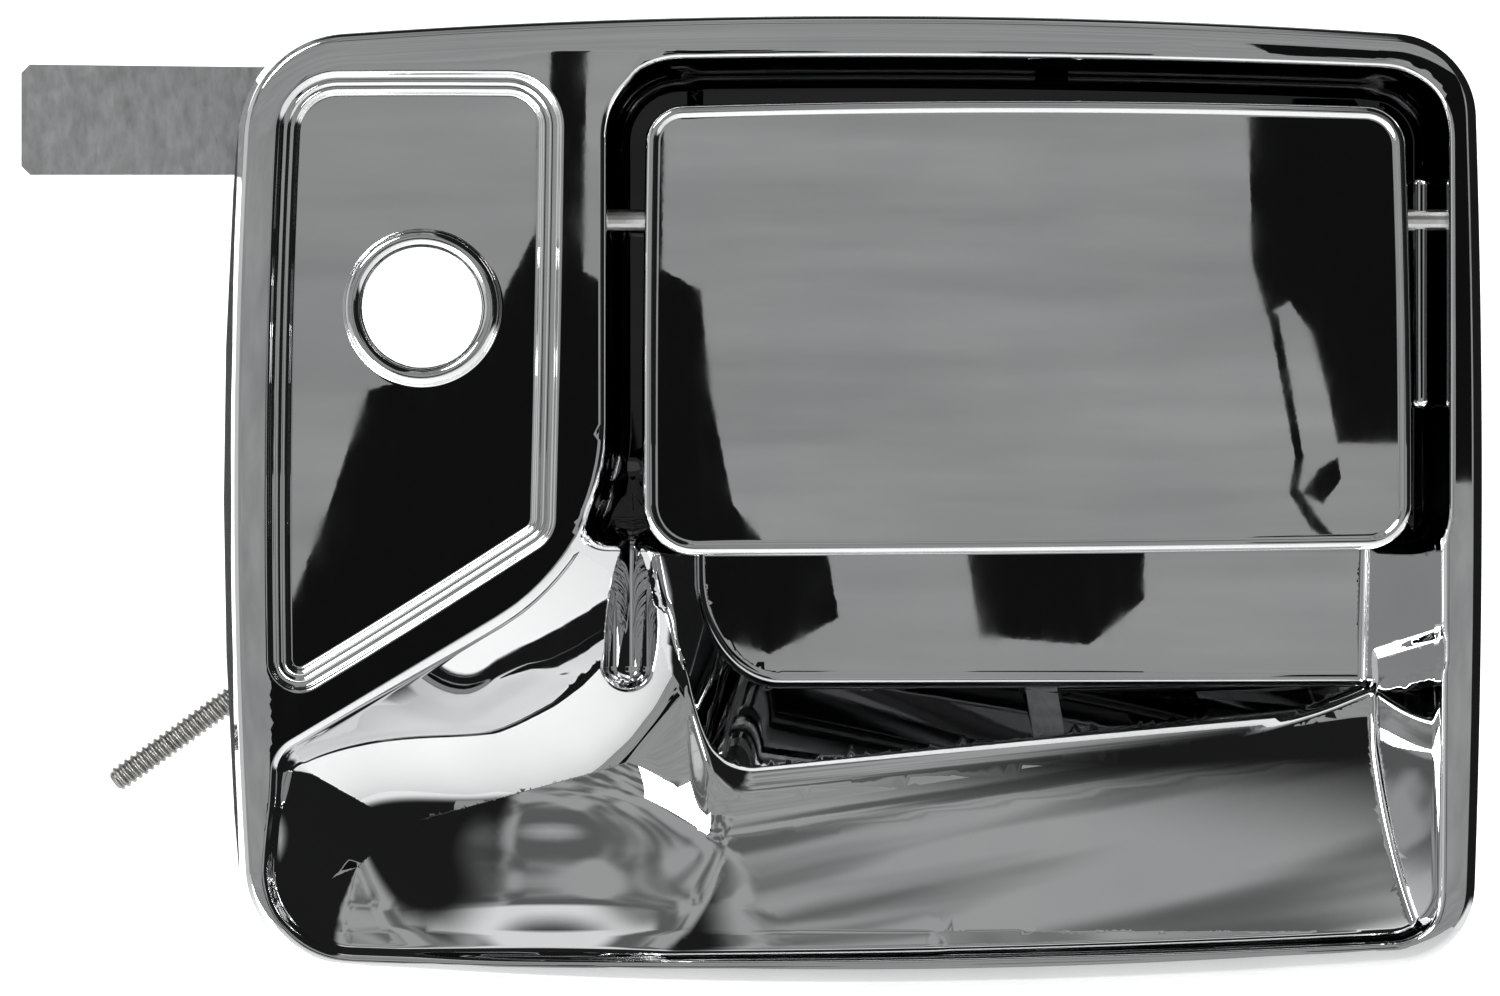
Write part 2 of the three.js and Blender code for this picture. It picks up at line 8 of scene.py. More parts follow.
import bpy
import numpy as np
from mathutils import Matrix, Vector
from mathutils.geometry import delaunay_2d_cdt

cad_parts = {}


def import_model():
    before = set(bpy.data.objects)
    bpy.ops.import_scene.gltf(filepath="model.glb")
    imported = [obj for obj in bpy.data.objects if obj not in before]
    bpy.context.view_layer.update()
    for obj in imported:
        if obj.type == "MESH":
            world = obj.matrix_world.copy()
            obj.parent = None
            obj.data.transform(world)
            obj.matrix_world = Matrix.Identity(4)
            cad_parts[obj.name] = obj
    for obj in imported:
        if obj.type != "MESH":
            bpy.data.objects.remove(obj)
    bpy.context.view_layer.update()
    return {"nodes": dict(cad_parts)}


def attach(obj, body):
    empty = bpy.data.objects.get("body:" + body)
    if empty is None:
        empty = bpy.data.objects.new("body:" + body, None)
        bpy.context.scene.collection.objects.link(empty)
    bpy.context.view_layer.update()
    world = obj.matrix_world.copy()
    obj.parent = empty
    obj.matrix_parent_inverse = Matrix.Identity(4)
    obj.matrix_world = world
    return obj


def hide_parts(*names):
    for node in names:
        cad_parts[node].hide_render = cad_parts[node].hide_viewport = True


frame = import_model()
MM = 0.001
NODES = frame["nodes"]

# ---------------------------------------------------------------- dimensions, millimetres
FACE = -9.5
RIM_BACK = -1.8
WALL = 2.2
POCKET_DEPTH = 27.0
TAPER = 0.19  # draft of the rim's side wall
LOCK = (-65.8, 28.9)
LOCK_BORE = 9.0
HINGE_Y = 1.0
HINGE_Z = 42.3
SLOT = (26.0, 34.0, 26.0, 48.4)  # the opening the cam finger works through: x from, to, z from, to
CRANK_PIVOT = (-30, 52)
CRANK_SPRING_POST = (-17, 57.5)
STUD_LOCK_SIDE = (-72, -10)
STUD_POCKET_SIDE = (66, 12)
POCKET_Y = FACE + POCKET_DEPTH
POCKET_LEFT = -24.5  # foot of the pocket's left wall, on its floor
FLOOR_EDGE = -27.8  # foot of its bottom wall
LEAN_TOP = -6.5  # below this the pocket's floor leans back
LEAN = 0.05
PANEL_STEP = 2.9  # from the lock panel's outer edge to its inner step
PANEL_DEPTHS = (0.85, 2.0)  # the ledge and the panel below the face
LOCK_LIP = (10.45, 1.35)  # middle and roundness of the raised lip round the lock hole
PADDLE_FRONT = -10.6
PADDLE_BACK = -1.0
PADDLE_MIDDLE = (25.0, 26.0)
PADDLE_INSIDE = -7.9  # the hollow behind the paddle's front
DISH = (-47.5, -36.0)  # the round bowl at the left of the scoop
DISH_RADIUS = 37.0
DISH_DEPTH = 21.5
GROOVE_X = -34.6
GROOVE_TOP = 3.0
GROOVE_END = -25.4
GROOVE_DEPTH = (22.0, 14.5)
GROOVE_RADIUS = 4.0
SLOPE_FOOT = -65.0  # where the long slope up from the bottom edge starts
SLOPE_MIDDLE = -14.0

# Outlines: (x, z, corner radius, outward bow of the side that follows), clockwise from the top left.
RIM = [(-92.8, 70.2, 17, 3.2), (93.4, 70.4, 14, 1.2), (93.2, -70.2, 13.5, 3.7), (-92.6, -70.6, 17, 2.1)]
LOCK_PANEL = [(-86.9, 63.9, 9, 0.1), (-44.9, 63.9, 8, 0.1), (-46.2, -5.4, 5, 0.2), (-88.4, -31.7, 4.4, 0.8)]
RECESS = [
    (-38, 65.4, 11, 0.9), (88.2, 63.9, 10, 0.2), (87.7, -66.0, 8, 1.6),
    (-88.5, -68.2, 13, 0.3), (-88.2, -37.8, 6, 0), (-38, -8, 34, 0),
]
HINGE_RIB = [(83.6, 48.6, 1.1, 0), (86.0, 48.6, 1.1, 0), (86.0, 14, 1.1, 0), (83.6, 14, 1.1, 0)]
POCKET_FLOOR = [
    (POCKET_LEFT, 50, 3, 0), (90, 50, 3, 0), (90, FLOOR_EDGE, 3, 0), (POCKET_LEFT, FLOOR_EDGE, 12, 0),
]
PADDLE = [(-32.3, 59.3, 6, 0.9), (82.0, 59.2, 6.5, 0.3), (83.1, -7.4, 7, 0.2), (-32.7, -8.5, 8, 0.2)]


# ---------------------------------------------------------------- outlines
def heading(angle):
    return np.array([math.cos(angle), math.sin(angle)])


def left_of(direction):
    return np.array([-direction[1], direction[0]])


def outline(corners, step):
    """Points round a closed rounded outline, and its outward normals."""
    count = len(corners)
    at = [np.array(c[:2], float) for c in corners]
    leave, arrive = [], []
    for i, corner in enumerate(corners):
        chord = at[(i + 1) % count] - at[i]
        bend = math.atan2(4 * corner[3], np.linalg.norm(chord))
        angle = math.atan2(chord[1], chord[0])
        leave.append(angle + bend)
        arrive.append(angle - bend)
    points, normals, tangent = [], [], []
    for i, (_, _, radius, _) in enumerate(corners):
        turn = (leave[i] - arrive[i - 1] + math.pi) % (2 * math.pi) - math.pi
        reach = radius * math.tan(abs(turn) / 2)
        side = 1 if turn < 0 else -1
        start = at[i] - reach * heading(arrive[i - 1])
        centre = start - side * radius * left_of(heading(arrive[i - 1]))
        steps = max(4, math.ceil(abs(turn) / math.radians(6)), math.ceil(abs(turn) * radius / step))
        arc = []
        for k in range(steps + 1):
            normal = left_of(heading(arrive[i - 1] + turn * k / steps))
            arc.append((centre + side * radius * normal, normal))
        tangent.append(arc)
    for i in range(count):
        points += [p for p, _ in tangent[i]]
        normals += [n for _, n in tangent[i]]
        a, b = tangent[i][-1][0], tangent[(i + 1) % count][0][0]
        length = np.linalg.norm(b - a)
        pull_a = a + heading(leave[i]) * length / 3
        pull_b = b - heading(arrive[i]) * length / 3
        steps = max(1, round(length / step))
        for k in range(1, steps):
            t = k / steps
            s = 1 - t
            points.append(s**3 * a + 3 * s * s * t * pull_a + 3 * s * t * t * pull_b + t**3 * b)
            way = 3 * s * s * (pull_a - a) + 6 * s * t * (pull_b - pull_a) + 3 * t * t * (b - pull_b)
            normals.append(left_of(way / np.linalg.norm(way)))
    return np.array(points), np.array(normals)


def inset(curve, q):
    """How far each point of q lies inside the outline, and the direction in which that grows."""
    points, normals = curve
    span = np.roll(points, -1, 0) - points
    length2 = (span * span).sum(1)
    depth = np.empty(len(q))
    inward = np.empty((len(q), 2))
    for start in range(0, len(q), 4000):
        part = q[start:start + 4000]
        rel = part[:, None] - points[None]
        t = np.clip((rel * span).sum(2) / length2, 0, 1)
        away = rel - t[:, :, None] * span
        nearest = (away * away).sum(2).argmin(1)
        rows = np.arange(len(part))
        t = t[rows, nearest][:, None]
        normal = normals[nearest] * (1 - t) + np.roll(normals, -1, 0)[nearest] * t
        normal /= np.linalg.norm(normal, axis=1)[:, None]
        away = away[rows, nearest]
        side = np.sign((away * normal).sum(1))
        depth[start:start + 4000] = -side * np.linalg.norm(away, axis=1)
        inward[start:start + 4000] = -normal
    return depth, inward


# ---------------------------------------------------------------- rounded joins of solids
# A field is negative in the air and positive in the metal, and close to a distance near the surface.
def either(a, b, radius):
    """Air where either is air: the metal's outer edge between them is rounded."""
    reach = np.hypot(np.maximum(radius - a, 0), np.maximum(radius - b, 0))
    return np.maximum(radius, np.minimum(a, b)) - reach


def both(a, b, radius):
    """Air where both are air: the metal's inner corner between them is filled."""
    reach = np.hypot(np.maximum(radius + a, 0), np.maximum(radius + b, 0))
    return np.minimum(-radius, np.maximum(a, b)) + reach


def rise(x, start, end):
    t = np.clip((x - start) / (end - start), 0, 1)
    return t * t * (3 - 2 * t)


def slope_plane(depth, wanted, slope):
    """A wall whose depth below the face is wanted, as a distance."""
    return (depth - wanted) / np.sqrt(1 + slope * slope)


# ---------------------------------------------------------------- the escutcheon's surface
def floor_depth(z):
    return POCKET_DEPTH + LEAN * np.clip(LEAN_TOP - z, 0, 22)


def slope_depth(x, z):
    """The long slope that leads a hand up from the bottom edge, a little crowned."""
    grade = 0.375 + (x - SLOPE_MIDDLE) * 0.0018
    up = z - SLOPE_FOOT
    return 6 + grade * up + 0.004 * np.clip(up, 0, 40) * np.clip(-32 - z, -10, 33)


def ridge(x):
    """Height and depth of the ridge between the long slope and the pocket."""
    z = -40.6 + np.clip(x - SLOPE_MIDDLE, -6, 90) * 0.106
    return z, slope_depth(x, z)


def deep_pocket(x, z, d, recess):
    """The pocket behind the paddle. The lip bounds its upper part; the lower part has walls of its own."""
    floor = d - floor_depth(z)
    lip = 0.05 * d - recess
    upper = both(both(lip, floor, 2.0), -(z - LEAN_TOP), 5.0)
    left = (POCKET_LEFT - (POCKET_DEPTH - d) / 3 - x) / 1.054
    ridge_z, ridge_depth = ridge(x)
    grade = (floor_depth(FLOOR_EDGE) - ridge_depth) / (FLOOR_EDGE - ridge_z)
    bottom = (FLOOR_EDGE - (floor_depth(FLOOR_EDGE) - d) / grade - z) / np.sqrt(1 + 1 / grade**2)
    right = slope_plane(d, 2.7 * (87.7 - x), 2.7)
    end = -(z + 30.3 - 0.4 * (x - 73.5)) / 1.077
    lower = both(both(left, bottom, 12.0), both(right, end, 0.6), 0.7)
    lower = both(both(lower, floor, 1.0), lip, 0.5)
    return either(upper, lower, 2.0)


def corner_groove(x, z, d):
    """The round-ended groove that runs down beside the pocket's lower left corner."""
    t = np.clip((GROOVE_TOP - z) / (GROOVE_TOP - GROOVE_END), 0, 1)
    axis_z = GROOVE_TOP + (GROOVE_END - GROOVE_TOP) * t
    axis_d = GROOVE_DEPTH[0] + (GROOVE_DEPTH[1] - GROOVE_DEPTH[0]) * t
    return np.sqrt((x - GROOVE_X) ** 2 + (z - axis_z) ** 2 + (0.8 * (d - axis_d)) ** 2) - GROOVE_RADIUS


def finger_scoop(x, z, d, recess):
    """The hollow below the paddle: the long slope, the round dish, the walls and the corner groove."""
    lip = 0.03 * d - recess
    long_slope = (d - slope_depth(x, z)) / 1.1
    lip_depth = 5 * rise(z, -44, -62) + 40 * rise(x, 10, 50)
    steep = (0.92 + 0.45 * rise(x, -55, -86)) * (1 - 0.3 * rise(z, -44, -60))
    wall = slope_plane(d, steep * recess + lip_depth, steep)
    right_grade = np.clip(2.6 + (z + 28.5) * 0.025, 1.7, 2.6)
    right = slope_plane(d, right_grade * (87.9 - x), right_grade)
    right = both(right, z + 24 - 0.4 * (x - 78) - 60 * rise(x, 76, 62) - 200 * rise(x, 5, -25), 1.0)
    dish_d = DISH_DEPTH - DISH_RADIUS
    dish = np.sqrt((x - DISH[0]) ** 2 + (z - DISH[1]) ** 2 + (d - dish_d) ** 2) - DISH_RADIUS
    ridge_z, ridge_depth = ridge(x)
    brow = slope_plane(d, ridge_depth + 0.05 * (z - ridge_z) + 30 * rise(x, -22, -38), 0.05)
    ground = both(either(long_slope, dish, 5.0), brow, 3.0)
    hollow = both(both(ground, wall, 1.5 + 9 * rise(x, -10, -50)), right, 1.0)
    return either(both(hollow, lip, 1.6), corner_groove(x, z, d), 0.6)


def from_lock(q):
    return np.hypot(q[:, 0] - LOCK[0], q[:, 1] - LOCK[1])


def escutcheon_field(x, z, y, insets):
    rim, panel, recess = insets
    fall = 0.02 * np.maximum(0, 6 - rim) ** 2 + (x / 100) ** 2 * 0.35 + (z / 75) ** 2 * 0.3
    d = y - FACE
    metal = either(d - fall, (rim - TAPER * (RIM_BACK - y)) / math.hypot(1, TAPER), 0.9)
    beads = 0.13 * (np.exp(-((panel - 2.3) / 0.2) ** 2) + np.exp(-((panel - 1.3) / 0.2) ** 2))
    ledge = PANEL_DEPTHS[0] + 0.2 * np.clip(panel, 0, PANEL_STEP) - beads
    metal = either(metal, both(-panel, d - ledge - 0.3 * fall, 0.6), 0.45)
    metal = either(metal, both(PANEL_STEP - panel, d - PANEL_DEPTHS[1] - 0.3 * fall, 0.4), 0.25)
    lock_r = np.hypot(x - LOCK[0], z - LOCK[1])
    lip_middle, lip_round = LOCK_LIP
    metal = both(metal, lip_round - np.hypot(lock_r - lip_middle, d - lip_round), 0.35)
    cavity = either(deep_pocket(x, z, d, recess), finger_scoop(x, z, d, recess), 1.5)
    return either(metal, cavity, 1.1)


def paddle_field(x, z, y, insets):
    (edge,) = insets
    fall = ((x - PADDLE_MIDDLE[0]) ** 2 / 6400) + ((z - PADDLE_MIDDLE[1]) ** 2 / 5200)
    metal = either(y - PADDLE_FRONT - 0.35 - fall, edge - 0.04 * (PADDLE_BACK - y), 0.8)
    bead = 0.95 - np.hypot(edge - 1.25, y - PADDLE_FRONT - fall - 0.95)
    return both(metal, bead, 0.2)


def solve(field, curves, q, level, near, far):
    """The y at which the field reaches level over each point of q, with the field's gradient there."""
    parts = [inset(curve, q) for curve in curves]
    x, z = q[:, 0], q[:, 1]
    depths = [p[0] for p in parts]
    low = np.full(len(q), near)
    high = np.full(len(q), far)
    for _ in range(26):
        middle = (low + high) / 2
        inside = field(x, z, middle, depths) > level
        high = np.where(inside, middle, high)
        low = np.where(inside, low, middle)
    y = (low + high) / 2
    e = 0.02
    slopes = []
    for axis in (0, 1):
        shift = [e * p[1][:, axis] for p in parts]
        dx, dz = (e, 0) if axis == 0 else (0, e)
        ahead = field(x + dx, z + dz, y, [d + s for d, s in zip(depths, shift)])
        behind = field(x - dx, z - dz, y, [d - s for d, s in zip(depths, shift)])
        slopes.append(ahead - behind)
    slopes.insert(1, field(x, z, y + e, depths) - field(x, z, y - e, depths))
    gradient = np.stack(slopes, 1)
    gradient /= np.maximum(np.linalg.norm(gradient, axis=1), 1e-9)[:, None]
    return y, gradient


# ---------------------------------------------------------------- meshing a relief
ESCUTCHEON_CURVES = [outline(corners, 8.0) for corners in (RIM, LOCK_PANEL, RECESS)]


def in_space(flat, y):
    """Points (x, z) at the height or heights y."""
    return np.stack([flat[:, 0], np.broadcast_to(y, len(flat)), flat[:, 1]], 1)


def circle(count):
    angles = np.linspace(0, 2 * math.pi, count, endpoint=False)
    return np.stack([np.cos(angles), np.sin(angles)], 1)


def follow_rows(corners, offsets, step, keep=None):
    """Rows of points at the given insets from an outline, with their edges, but no folded stretches."""
    points, normals = outline(corners, step)
    curve = outline(corners, 3.0)
    rows, edges = [], []
    total = 0
    for offset in offsets:
        row = points - normals * offset
        good = np.abs(inset(curve, row)[0] - offset) < 0.03
        if keep is not None:
            good &= keep(row)
        index = np.cumsum(good) - 1 + total
        following = np.roll(good, -1)
        joined = good & following
        edges += list(zip(index[joined], np.roll(index, -1)[joined]))
        rows.append(row[good])
        total += int(good.sum())
    return np.concatenate(rows), edges


def ring_rows(centre, radii, count):
    rows = [np.array(centre) + circle(count) * r for r in radii]
    edges = [(k * count + i, k * count + (i + 1) % count) for k in range(len(radii)) for i in range(count)]
    return np.concatenate(rows), edges


def hexagonal(low, high, pitch):
    rows = np.arange(low[1], high[1], pitch * 0.866)
    points = []
    for k, z in enumerate(rows):
        xs = np.arange(low[0] + (k % 2) * pitch / 2, high[0], pitch)
        points.append(np.stack([xs, np.full(len(xs), z)], 1))
    return np.concatenate(points)


def triangulate(points, edges):
    kept_edges = [(int(a), int(b)) for a, b in edges]
    out = delaunay_2d_cdt([tuple(p) for p in points.tolist()], kept_edges, [], 0, 1e-5)
    return np.array([tuple(v) for v in out[0]]), np.array([f for f in out[2] if len(f) == 3])


def refine(points, edges, spots, rounds, solver):
    """Adds a point in the middle of each triangle side over which the surface turns, where spots allows."""
    for turn_limit, shortest in rounds:
        flat, triangles = triangulate(points, edges)
        y, gradient = solver(flat)
        sides = np.concatenate([triangles[:, [0, 1]], triangles[:, [1, 2]], triangles[:, [2, 0]]])
        sides = np.unique(np.sort(sides, 1), axis=0)
        a, b = sides[:, 0], sides[:, 1]
        turn = (gradient[a] * gradient[b]).sum(1)
        length = np.linalg.norm(flat[a] - flat[b], axis=1)
        middle = (flat[a] + flat[b]) / 2
        wanted = (turn < math.cos(math.radians(turn_limit))) & (length > shortest) & spots(middle)
        points = np.concatenate([points, middle[wanted]])
    return points


def mesh_object(name, points, faces, normals=None):
    """A mesh from points in millimetres."""
    mesh = bpy.data.meshes.new(name)
    if isinstance(faces, np.ndarray):
        faces = faces.tolist()
    mesh.from_pydata((np.asarray(points) * MM).tolist(), [], faces)
    mesh.polygons.foreach_set("use_smooth", [True] * len(mesh.polygons))
    if normals is not None:
        mesh.normals_split_custom_set_from_vertices(np.asarray(normals).tolist())
    obj = bpy.data.objects.new(name, mesh)
    bpy.context.scene.collection.objects.link(obj)
    return obj


def raised(flat, triangles, y, normals, outward):
    """Points in space, with each triangle facing outward (-1 towards the front, 1 towards the back)."""
    a, b, c = (flat[triangles[:, k]] for k in range(3))
    area = (b[:, 0] - a[:, 0]) * (c[:, 1] - a[:, 1]) - (b[:, 1] - a[:, 1]) * (c[:, 0] - a[:, 0])
    keep = np.abs(area) > 1e-7
    triangles, area = triangles[keep], area[keep]
    wrong = (area < 0) if outward < 0 else (area > 0)
    triangles[wrong] = triangles[wrong][:, ::-1]
    return in_space(flat, y), triangles, normals


ROW_STEP = 1.3
LIP_ROWS = (-1.25, -0.95, -0.65, -0.42, -0.22, -0.08, 0.02, 0.12, 0.28, 0.55, 0.95, 1.35, 1.6, 1.9,
            2.3, 2.8, 3.4)
PANEL_ROWS = (-0.6, -0.4, -0.2, -0.02, 0.15, 0.35, 0.6, 0.85, 1.02, 1.16, 1.3,
              1.44, 1.58, 1.8, 2.0, 2.15, 2.3, 2.45, 2.6, 2.78, 2.92,
              3.05, 3.2, 3.4, 3.7)
FLOOR_ROWS = (-4.5, -3.4, -2.4, -1.5, -0.8, -0.4, -0.15, 0.1, 0.4, 0.8, 1.2, 1.7)
RIM_ROWS = (0, 0.35, 0.75, 1.1, 1.35, 1.6, 1.85, 2.15, 2.5, 3.1, 3.9)
BACK_ROWS = (-5.3, -4.6, -4.0, -3.4, -2.8, -2.4, -2.15, -1.9, -1.55, -1.2, -0.9, -0.6, -0.1, 0.7)
PADDLE_ROWS = (0, 0.15, 0.3, 0.42, 0.55, 0.75, 1.0, 1.25, 1.5, 1.75, 1.92, 2.05, 2.2, 2.45)
BACK_RIM_ROWS = (2.3, 2.6, 3.0, 3.5, 4.2)
BACK_PANEL_ROWS = (-2.5, -1.9, -1.3, -0.6, 0.1, 0.9, 2.4)
LOCK_ROWS = (9.0, 9.1, 9.25, 9.5, 9.8, 10.1, 10.45, 10.8, 11.1, 11.4, 11.65, 11.8, 12.0, 12.3)


def gather(groups):
    points, edges, total = [], [], 0
    for group_points, group_edges in groups:
        points.append(group_points)
        edges += [(a + total, b + total) for a, b in group_edges]
        total += len(group_points)
    return np.concatenate(points), edges


def slot_ring(step=1.0):
    x0, x1, z0, z1 = SLOT
    across = np.linspace(x0, x1, round((x1 - x0) / step), endpoint=False)
    down = np.linspace(z1, z0, round((z1 - z0) / step), endpoint=False)
    sides = [(across, z1), (x1, down), (x1 + x0 - across, z0), (x0, z1 + z0 - down)]
    return np.concatenate([np.stack(np.broadcast_arrays(x, z), 1) for x, z in sides])


def slot_rows():
    ring = slot_ring()
    return ring, [(i, (i + 1) % len(ring)) for i in range(len(ring))]


def clear_of_slot(q, margin):
    x0, x1, z0, z1 = SLOT
    beside = (q[:, 0] < x0 - margin) | (q[:, 0] > x1 + margin)
    return beside | (q[:, 1] < z0 - margin) | (q[:, 1] > z1 + margin)


def outside_openings(flat, triangles):
    """The triangles that are in neither the lock hole nor the cam finger's slot."""
    centre = flat[triangles].mean(1)
    return triangles[(from_lock(centre) > LOCK_BORE - 0.03) & clear_of_slot(centre, 0)]


def escutcheon_front():
    rows, edges = gather([
        follow_rows(RIM, RIM_ROWS, ROW_STEP),
        follow_rows(LOCK_PANEL, PANEL_ROWS, ROW_STEP),
        follow_rows(RECESS, LIP_ROWS, ROW_STEP),
        follow_rows(POCKET_FLOOR, FLOOR_ROWS, 1.0, lambda row: (row[:, 1] < -9) & (row[:, 0] < 80)),
        ring_rows(LOCK, LOCK_ROWS, 72),
        slot_rows(),
    ])

    def open_ground(q):
        rim, panel, recess = (inset(c, q)[0] for c in ESCUTCHEON_CURVES)
        floor = inset(outline(POCKET_FLOOR, 8.0), q)[0]
        floor_edge = (floor > -4.9) & (floor < 2.5) & (q[:, 1] < -8.5) & (q[:, 0] < 80.5)
        off_rows = (rim > 4.4) & ((panel < -1.1) | (panel > 4.2)) & ((recess < -1.8) | (recess > 4.0))
        return ~floor_edge & off_rows & (from_lock(q) > 12.9) & clear_of_slot(q, 0.8)

    def inside_recess(q, margin):
        return inset(ESCUTCHEON_CURVES[2], q)[0] > margin

    def in_bowl(q):
        return (q[:, 0] < -10) & (q[:, 1] < 4) & inside_recess(q, 3)

    def front_at(q):
        return solve(escutcheon_field, ESCUTCHEON_CURVES, q, 0.0, FACE - 1, POCKET_Y + 3)

    coarse, fine = hexagonal((-95, -75), (95, 75), 2.0), hexagonal((-92, -72), (-8, 5), 1.05)
    grid = np.concatenate([coarse[~in_bowl(coarse)], fine[in_bowl(fine)]])
    points = np.concatenate([rows, grid[open_ground(grid)]])
    rounds = [(7, 0.7), (6, 0.4), (5, 0.25), (5, 0.18)]
    points = refine(points, edges, lambda q: inside_recess(q, 1.6), rounds, front_at)
    flat, triangles = triangulate(points, edges)
    y, gradient = front_at(flat)
    return raised(flat, outside_openings(flat, triangles), y, -gradient, -1)


def escutcheon_back():
    rim_curve, _, recess_curve = ESCUTCHEON_CURVES

    def off_rim(q):
        return inset(rim_curve, q)[0] > 4.7

    def off_recess(q):
        return off_rim(q) & (inset(recess_curve, q)[0] < -5.7)

    def back_at(q):
        return solve(escutcheon_field, ESCUTCHEON_CURVES, q, WALL, FACE - 1, POCKET_Y + 6)

    rows, edges = gather([
        follow_rows(RIM, BACK_RIM_ROWS, 3.0),
        follow_rows(RECESS, BACK_ROWS, 2.2, off_rim),
        follow_rows(LOCK_PANEL, BACK_PANEL_ROWS, 2.2, off_recess),
        ring_rows(LOCK, (LOCK_BORE, 11.6), 48),
        slot_rows(),
    ])
    grid = hexagonal((-95, -75), (95, 75), 3.0)
    rim, panel, recess = (inset(c, grid)[0] for c in ESCUTCHEON_CURVES)
    free = (rim > 5.2) & (from_lock(grid) > 12.8) & clear_of_slot(grid, 1.2)
    free &= ((recess < -6) | (recess > 1.4)) & ((panel < -3) | (panel > 3))
    points = np.concatenate([rows, grid[free]])
    rounds = [(12, 1.2), (10, 0.8), (9, 0.6)]
    points = refine(points, edges, lambda q: inset(rim_curve, q)[0] > 4.3, rounds, back_at)
    flat, triangles = triangulate(points, edges)
    y, gradient = back_at(flat)
    return raised(flat, outside_openings(flat, triangles), np.minimum(y, POCKET_Y + WALL), gradient, 1)


def lofted(rings):
    """Bands of quads between closed rings of points, as (points, faces)."""
    count = len(rings[0])
    faces = [
        (k * count + i, k * count + (i + 1) % count, (k + 1) * count + (i + 1) % count, (k + 1) * count + i)
        for k in range(len(rings) - 1) for i in range(count)
    ]
    return np.concatenate(rings), faces


def turned_y(centre, profile, count=48):
    """A surface of revolution about a line along Y; profile is (radius, y) pairs."""
    return lofted([in_space(np.array(centre) + r * circle(count), y) for r, y in profile])


def rounded_rib(corners, back, front, edge):
    """A rib that stands off the pocket floor, with a rounded front edge."""
    curve, normals = outline(corners, 0.5)
    steps = [
        (0, back), (0, front + edge), (0.13 * edge, front + 0.5 * edge), (0.5 * edge, front + 0.13 * edge),
        (edge, front),
    ]
    points, faces = lofted([in_space(curve - normals * q, y) for q, y in steps])
    faces.append(tuple(range(len(points) - len(curve), len(points))))
    return points, faces


def turned_x(y, z, profile, count=36):
    """A surface of revolution about a line along X; profile is (radius, x) pairs."""
    points, faces = turned_y((0, 0), profile, count)
    return np.stack([points[:, 1], y + points[:, 0], z + points[:, 2]], 1), faces


def joined(name, pieces):
    """One object from several pieces, each (points, faces) or (points, faces, normals)."""
    objects = [mesh_object(f"{name}_{k}", *piece) for k, piece in enumerate(pieces)]
    for obj, piece in zip(objects, pieces):
        if len(piece) == 2:
            obj.data.normals_split_custom_set_from_vertices([v.normal for v in obj.data.vertices])
    with bpy.context.temp_override(active_object=objects[0], selected_editable_objects=objects):
        bpy.ops.object.join()
    objects[0].name = name
    return objects[0]


def escutcheon():
    rim_points, rim_normals = outline(RIM, 3.0)
    foot = lofted([in_space(rim_points, RIM_BACK), in_space(rim_points - rim_normals * 2.45, RIM_BACK)])
    panel_y = FACE + PANEL_DEPTHS[1]
    bore = turned_y(LOCK, [(LOCK_BORE, 12.0), (LOCK_BORE, 4.0), (LOCK_BORE, panel_y + 0.3)])
    tube_wall = turned_y(LOCK, [
        (LOCK_BORE, 12.0), (LOCK_BORE + 0.3, 12.2), (11.3, 12.2), (11.6, 11.9), (11.6, 4.0),
        (11.6, panel_y + 1.5),
    ])
    slot_wall = lofted([in_space(slot_ring(), y) for y in (POCKET_Y, POCKET_Y + WALL)])
    pivot_boss = turned_y(CRANK_PIVOT, [
        (9.2, POCKET_Y + 1.9), (8.4, POCKET_Y + 2.5), (8, 20.5), (7.6, 20.95), (3.6, 20.95),
    ])
    stud_boss = turned_y(STUD_POCKET_SIDE, [
        (7.4, POCKET_Y + 1.9), (6.6, POCKET_Y + 2.3), (6.3, 19.7), (5.9, 20.05), (3.6, 20.05),
    ])
    spring_post = turned_y(CRANK_SPRING_POST, [
        (3.4, POCKET_Y + 1.9), (2.3, POCKET_Y + 2.6), (1.9, POCKET_Y + 4), (1.6, 29), (1.2, 29.7), (0.5, 30),
        (0.05, 30),
    ], 24)
    hinge_boss = turned_x(HINGE_Y, HINGE_Z, [(1.9, -43), (4.2, -43), (4.6, -42.6), (4.6, -38.4)])
    rib = rounded_rib(HINGE_RIB, POCKET_Y + 0.1, 0.2, 0.9)
    return joined("handle_escutcheon", [
        escutcheon_front(), escutcheon_back(),
        foot, bore, tube_wall, slot_wall, pivot_boss, stud_boss, spring_post, hinge_boss, rib,
    ])


